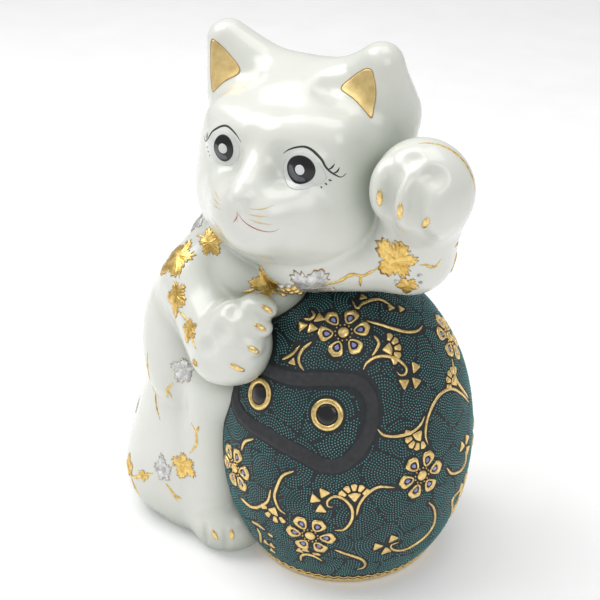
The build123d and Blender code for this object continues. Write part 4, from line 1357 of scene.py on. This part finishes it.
# Half width of each branch, and the places on the cat it runs through.
VINES = [
    (0.55, [(-33.5, -19.8, 127.3), (-30.5, -20, 127.4), (-28.5, -20.5, 127)]),
    (0.5, [(-38.2, -29, 115.6), (-35, -30.1, 117.3), (-33.1, -32.2, 114.9)]),
    (0.5, [(-30.6, -38.2, 104.6), (-28.3, -38.9, 104.6), (-26, -40.3, 104.2), (-22.5, -42.3, 103.3)]),
    (0.38, [(-20.6, -44.2, 100.3), (-18.6, -45.6, 99.2), (-15.6, -47.9, 97.3)]),
    (0.55, [(-37.1, -31.5, 70.5), (-39.6, -31.3, 66.8), (-40.7, -31.4, 61.6)]),
    (0.35, [(-39.6, -31.3, 66.8), (-38.6, -31.4, 62.6)]),
    (0.5, [(-47.8, -31.5, 79.5), (-49.2, -30.5, 72.5), (-50.6, -29.5, 64.5)]),
    (0.42, [(-51.5, -27.9, 61.5), (-49.4, -30.4, 55.5), (-45, -33.6, 50)]),
    (0.62, [(-27.6, -37.2, 56), (-24.9, -37.7, 53.3), (-24.6, -37.7, 47.9), (-28.2, -37.1, 42)]),
    (0.5, [(-22.9, -37.7, 56.4), (-24.7, -37.6, 52.4)]),
    (0.5, [(-37, -37.6, 33.6), (-34.6, -37.5, 34.4), (-32, -37.4, 35)]),
    (0.9, [(-61, -34.2, 19.3), (-57.6, -36, 19.8), (-55.2, -37.1, 21.3), (-50.8, -38, 24.5),
           (-45.8, -38.3, 27.2)]),
    (0.7, [(-60.1, -35, 18.3), (-57.6, -35.9, 14.5), (-55.4, -35.5, 10.6)]),
    (0.62, [(-39.6, -38.6, 24.6), (-36.3, -38, 20.9), (-34.2, -37.3, 17.4)]),
    (0.5, [(-36, -38, 20.4), (-32.6, -37.4, 19.4)]),
    (0.55, [(-8.6, -27.6, 113.2), (-4.9, -27.4, 114.5), (-2.2, -26.4, 116.3)]),
    (0.72, [(22.5, -24.2, 121.6), (26.2, -23.6, 123.2), (29.4, -22.9, 124.9), (32.1, -22.7, 127.2),
           (34.5, -22, 128.4), (37, -21.1, 127.8), (39.5, -20.7, 129.6), (43.2, -20.5, 132.4)]),
    (0.55, [(36.5, -21.2, 127.8), (36, -20.4, 125), (35.7, -19.6, 122.5)]),
    (0.62, [(57.6, -18.6, 135.6), (59.6, -17.8, 135.6), (61, -16.6, 134.4), (62.6, -14.6, 134.2),
           (63.9, -13.8, 136.9)]),
    (0.5, [(66.5, -7.5, 139.6), (66.5, -5.2, 141.2)]),
    (0.45, [(55, -18.5, 179.3), (60.2, -16, 178.8), (64.5, -14.5, 176.8), (68, -13.5, 173.4),
           (70.8, -13, 169), (72.3, -12.5, 164)]),
    (0.6, [(64, 3, 135), (62, 6, 131), (57, 9, 125), (50, 10.5, 121)]),
    (0.65, [(-56, 17, 97), (-53, 21, 91), (-46, 28, 82), (-40, 33, 74), (-35, 36, 68)]),
    (0.55, [(-46, 28, 82), (-52, 26, 74), (-57, 25, 64)]),
    (0.62, [(-8, 30, 124), (-13, 31, 117), (-21, 32, 112), (-26, 33, 105), (-26, 34, 98), (-32, 34, 92),
           (-40, 32, 88), (-46, 28, 82)]),
    (0.5, [(-26, 34, 98), (-20, 35, 94), (-15, 35, 88), (-13, 36, 81)]),
    (0.45, [(-25, 33, 107), (-32, 34, 108), (-38, 34, 105)]),
    (0.4, [(-20, 35, 94), (-18, 35, 97)]),
    (0.5, [(-57, 25, 64), (-62, 20, 57), (-66, 8, 50), (-69, -6, 45), (-69, -15, 42)]),
    (0.4, [(-66, 8, 50), (-65, 9, 44), (-66, 5, 38)]),
    (0.5, [(-36, 33, 90), (-37, 35, 84), (-33, 36, 78), (-34, 37, 71)]),
    (0.4, [(-14, 35, 86), (-20, 36, 82), (-21, 37, 76)]),
]
for width, points in VINES:
    cat_stroke(vine, points, width)

CLUSTER = (9.6, -25.0, 117.4)
GOLD_GRAPES = [(3.2, 3.4, 1.35), (0.6, 2, 1.5), (3.4, 0.6, 1.5), (0.8, -0.9, 1.5), (-1.8, 0.3, 1.3),
               (3.6, -2.2, 1.4), (-3.4, -4.6, 1.45)]
SILVER_GRAPES = [(-1.8, 3.6, 1.2), (-3.6, -1.2, 1.2), (-1.2, -2.8, 1.3), (1.2, -3.4, 1.2), (1.4, 4.8, 1.0)]
SMALL_GRAPES = [(-3.4, -1.8, 1.0), (4.6, 1.6, 0.9), (5.0, -2.0, 0.8)]


def grapes(builder, centre, berries, outline, rise, edge, steps):
    """Low round berries at offsets from a place on the cat, each with its radius."""
    place = on_cat(centre)
    for u, v, radius in berries:
        pillow(builder, place, circle(radius, *outline, centre=(u, v)), rise, 0.3, edge, steps)


grapes(berry_gold, CLUSTER, GOLD_GRAPES, (16,), 1.3, 0.25, (0.9, 0.7, 0.4))
grapes(berry_silver, CLUSTER, SILVER_GRAPES, (16,), 1.1, 0.25, (0.9, 0.7, 0.4))
grapes(berry_silver, (52.8, -18.8, 129.6), SMALL_GRAPES, (14, 0.6), 0.7, 0.3, (0.8, 0.5))

gold_leaf.make("vine_leaves_gold", LEAF_GOLD, ("gold_leaves",), "gold")
silver_leaf.make("vine_leaves_silver", SILVER, ("silver_leaves",), "silver")
leaf_edges.make("vine_leaf_edges", RUST, (), "gold")
vine.make("vine_branches", LEAF_GOLD, ("vine_stems",), "gold")
berry_gold.make("grapes_gold", GOLD, ("grape_berries",), "gold")
berry_silver.make("grapes_silver", SILVER, (), "silver")


# ---- floor, light and camera
def staged(name, data):
    """A floor or a light of the studio, which is no part of the figurine."""
    item = bpy.data.objects.new(name, data)
    bpy.context.scene.collection.objects.link(item)
    item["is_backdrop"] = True
    return item


def floor_sheet(size=4.0, cells=40, height=-0.0004):
    """A pale sheet under the figurine, glowing a little like paper under a diffuser."""
    line = (np.arange(cells + 1) / cells - 0.5) * size
    x, y = (grid.ravel() for grid in np.meshgrid(line, line))
    corner = (np.arange(cells)[:, None] * (cells + 1) + np.arange(cells)).ravel()
    faces = np.stack([corner, corner + 1, corner + cells + 2, corner + cells + 1], 1)
    mesh = bpy.data.meshes.new("floor_sheet")
    mesh.from_pydata(np.stack([x, y, np.full(len(x), height)], 1).tolist(), [], faces.tolist())
    paper = enamel("floor_paper", 0.86, 0.90, 0.7, 30, 0.02, 0.0002)
    shader = paper.node_tree.nodes["Principled BSDF"]
    shader.inputs["Emission Color"].default_value = (1, 1, 1, 1)
    shader.inputs["Emission Strength"].default_value = 0.16
    mesh.materials.append(paper)
    staged("floor_sheet", mesh)


def white_world(level=0.50, seen=0.40):
    """Even white light, and a brighter white where the camera looks straight at it."""
    world = bpy.data.worlds.new("studio")
    world.use_nodes = True
    tree = world.node_tree
    backdrop = tree.nodes["Background"]
    backdrop.inputs["Color"].default_value = (1, 1, 1, 1)
    rays = node(tree, "ShaderNodeLightPath")
    strength = node(tree, "ShaderNodeMath", [(0, rays.outputs["Is Camera Ray"])], operation="MULTIPLY_ADD")
    strength.inputs[1].default_value, strength.inputs[2].default_value = seen, level
    tree.links.new(strength.outputs[0], backdrop.inputs["Strength"])
    bpy.context.scene.world = world
    bpy.context.scene.view_settings.view_transform = "Standard"


def aimed(item, place, target):
    """Puts a light or a camera in its place, looking at the target."""
    item.location = place
    item.rotation_euler = (target - Vector(place)).to_track_quat("-Z", "Y").to_euler()


def studio():
    """Pale sweep, soft lights from the left, the right and above, and the camera."""
    floor_sheet()
    white_world()
    target = Vector((0, 0, 0.1))
    for name, place, width, power in (
        ("key", (-0.55, -0.15, 0.98), 0.75, 6.8),
        ("fill", (0.85, -0.6, 0.8), 0.6, 2.4),
        ("top", (0.1, 0.15, 1.2), 0.7, 3.2),
    ):
        light = bpy.data.lights.new(name, "AREA")
        light.size = width
        light.energy = power
        aimed(staged(name, light), place, target)

    turn, rise, distance = math.radians(30), math.radians(27), 0.480
    outward = Vector((math.sin(turn) * math.cos(rise), -math.cos(turn) * math.cos(rise), math.sin(rise)))
    lens = bpy.data.cameras.new("camera")
    lens.lens = 75.2
    lens.sensor_width = 36
    camera = bpy.data.objects.new("camera", lens)
    bpy.context.scene.collection.objects.link(camera)
    aimed(camera, target + distance * outward, target)
    bpy.context.scene.camera = camera


studio()

{"cad": [list(c) for c in CAD_BOX], "visual": [list(c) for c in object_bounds()]}
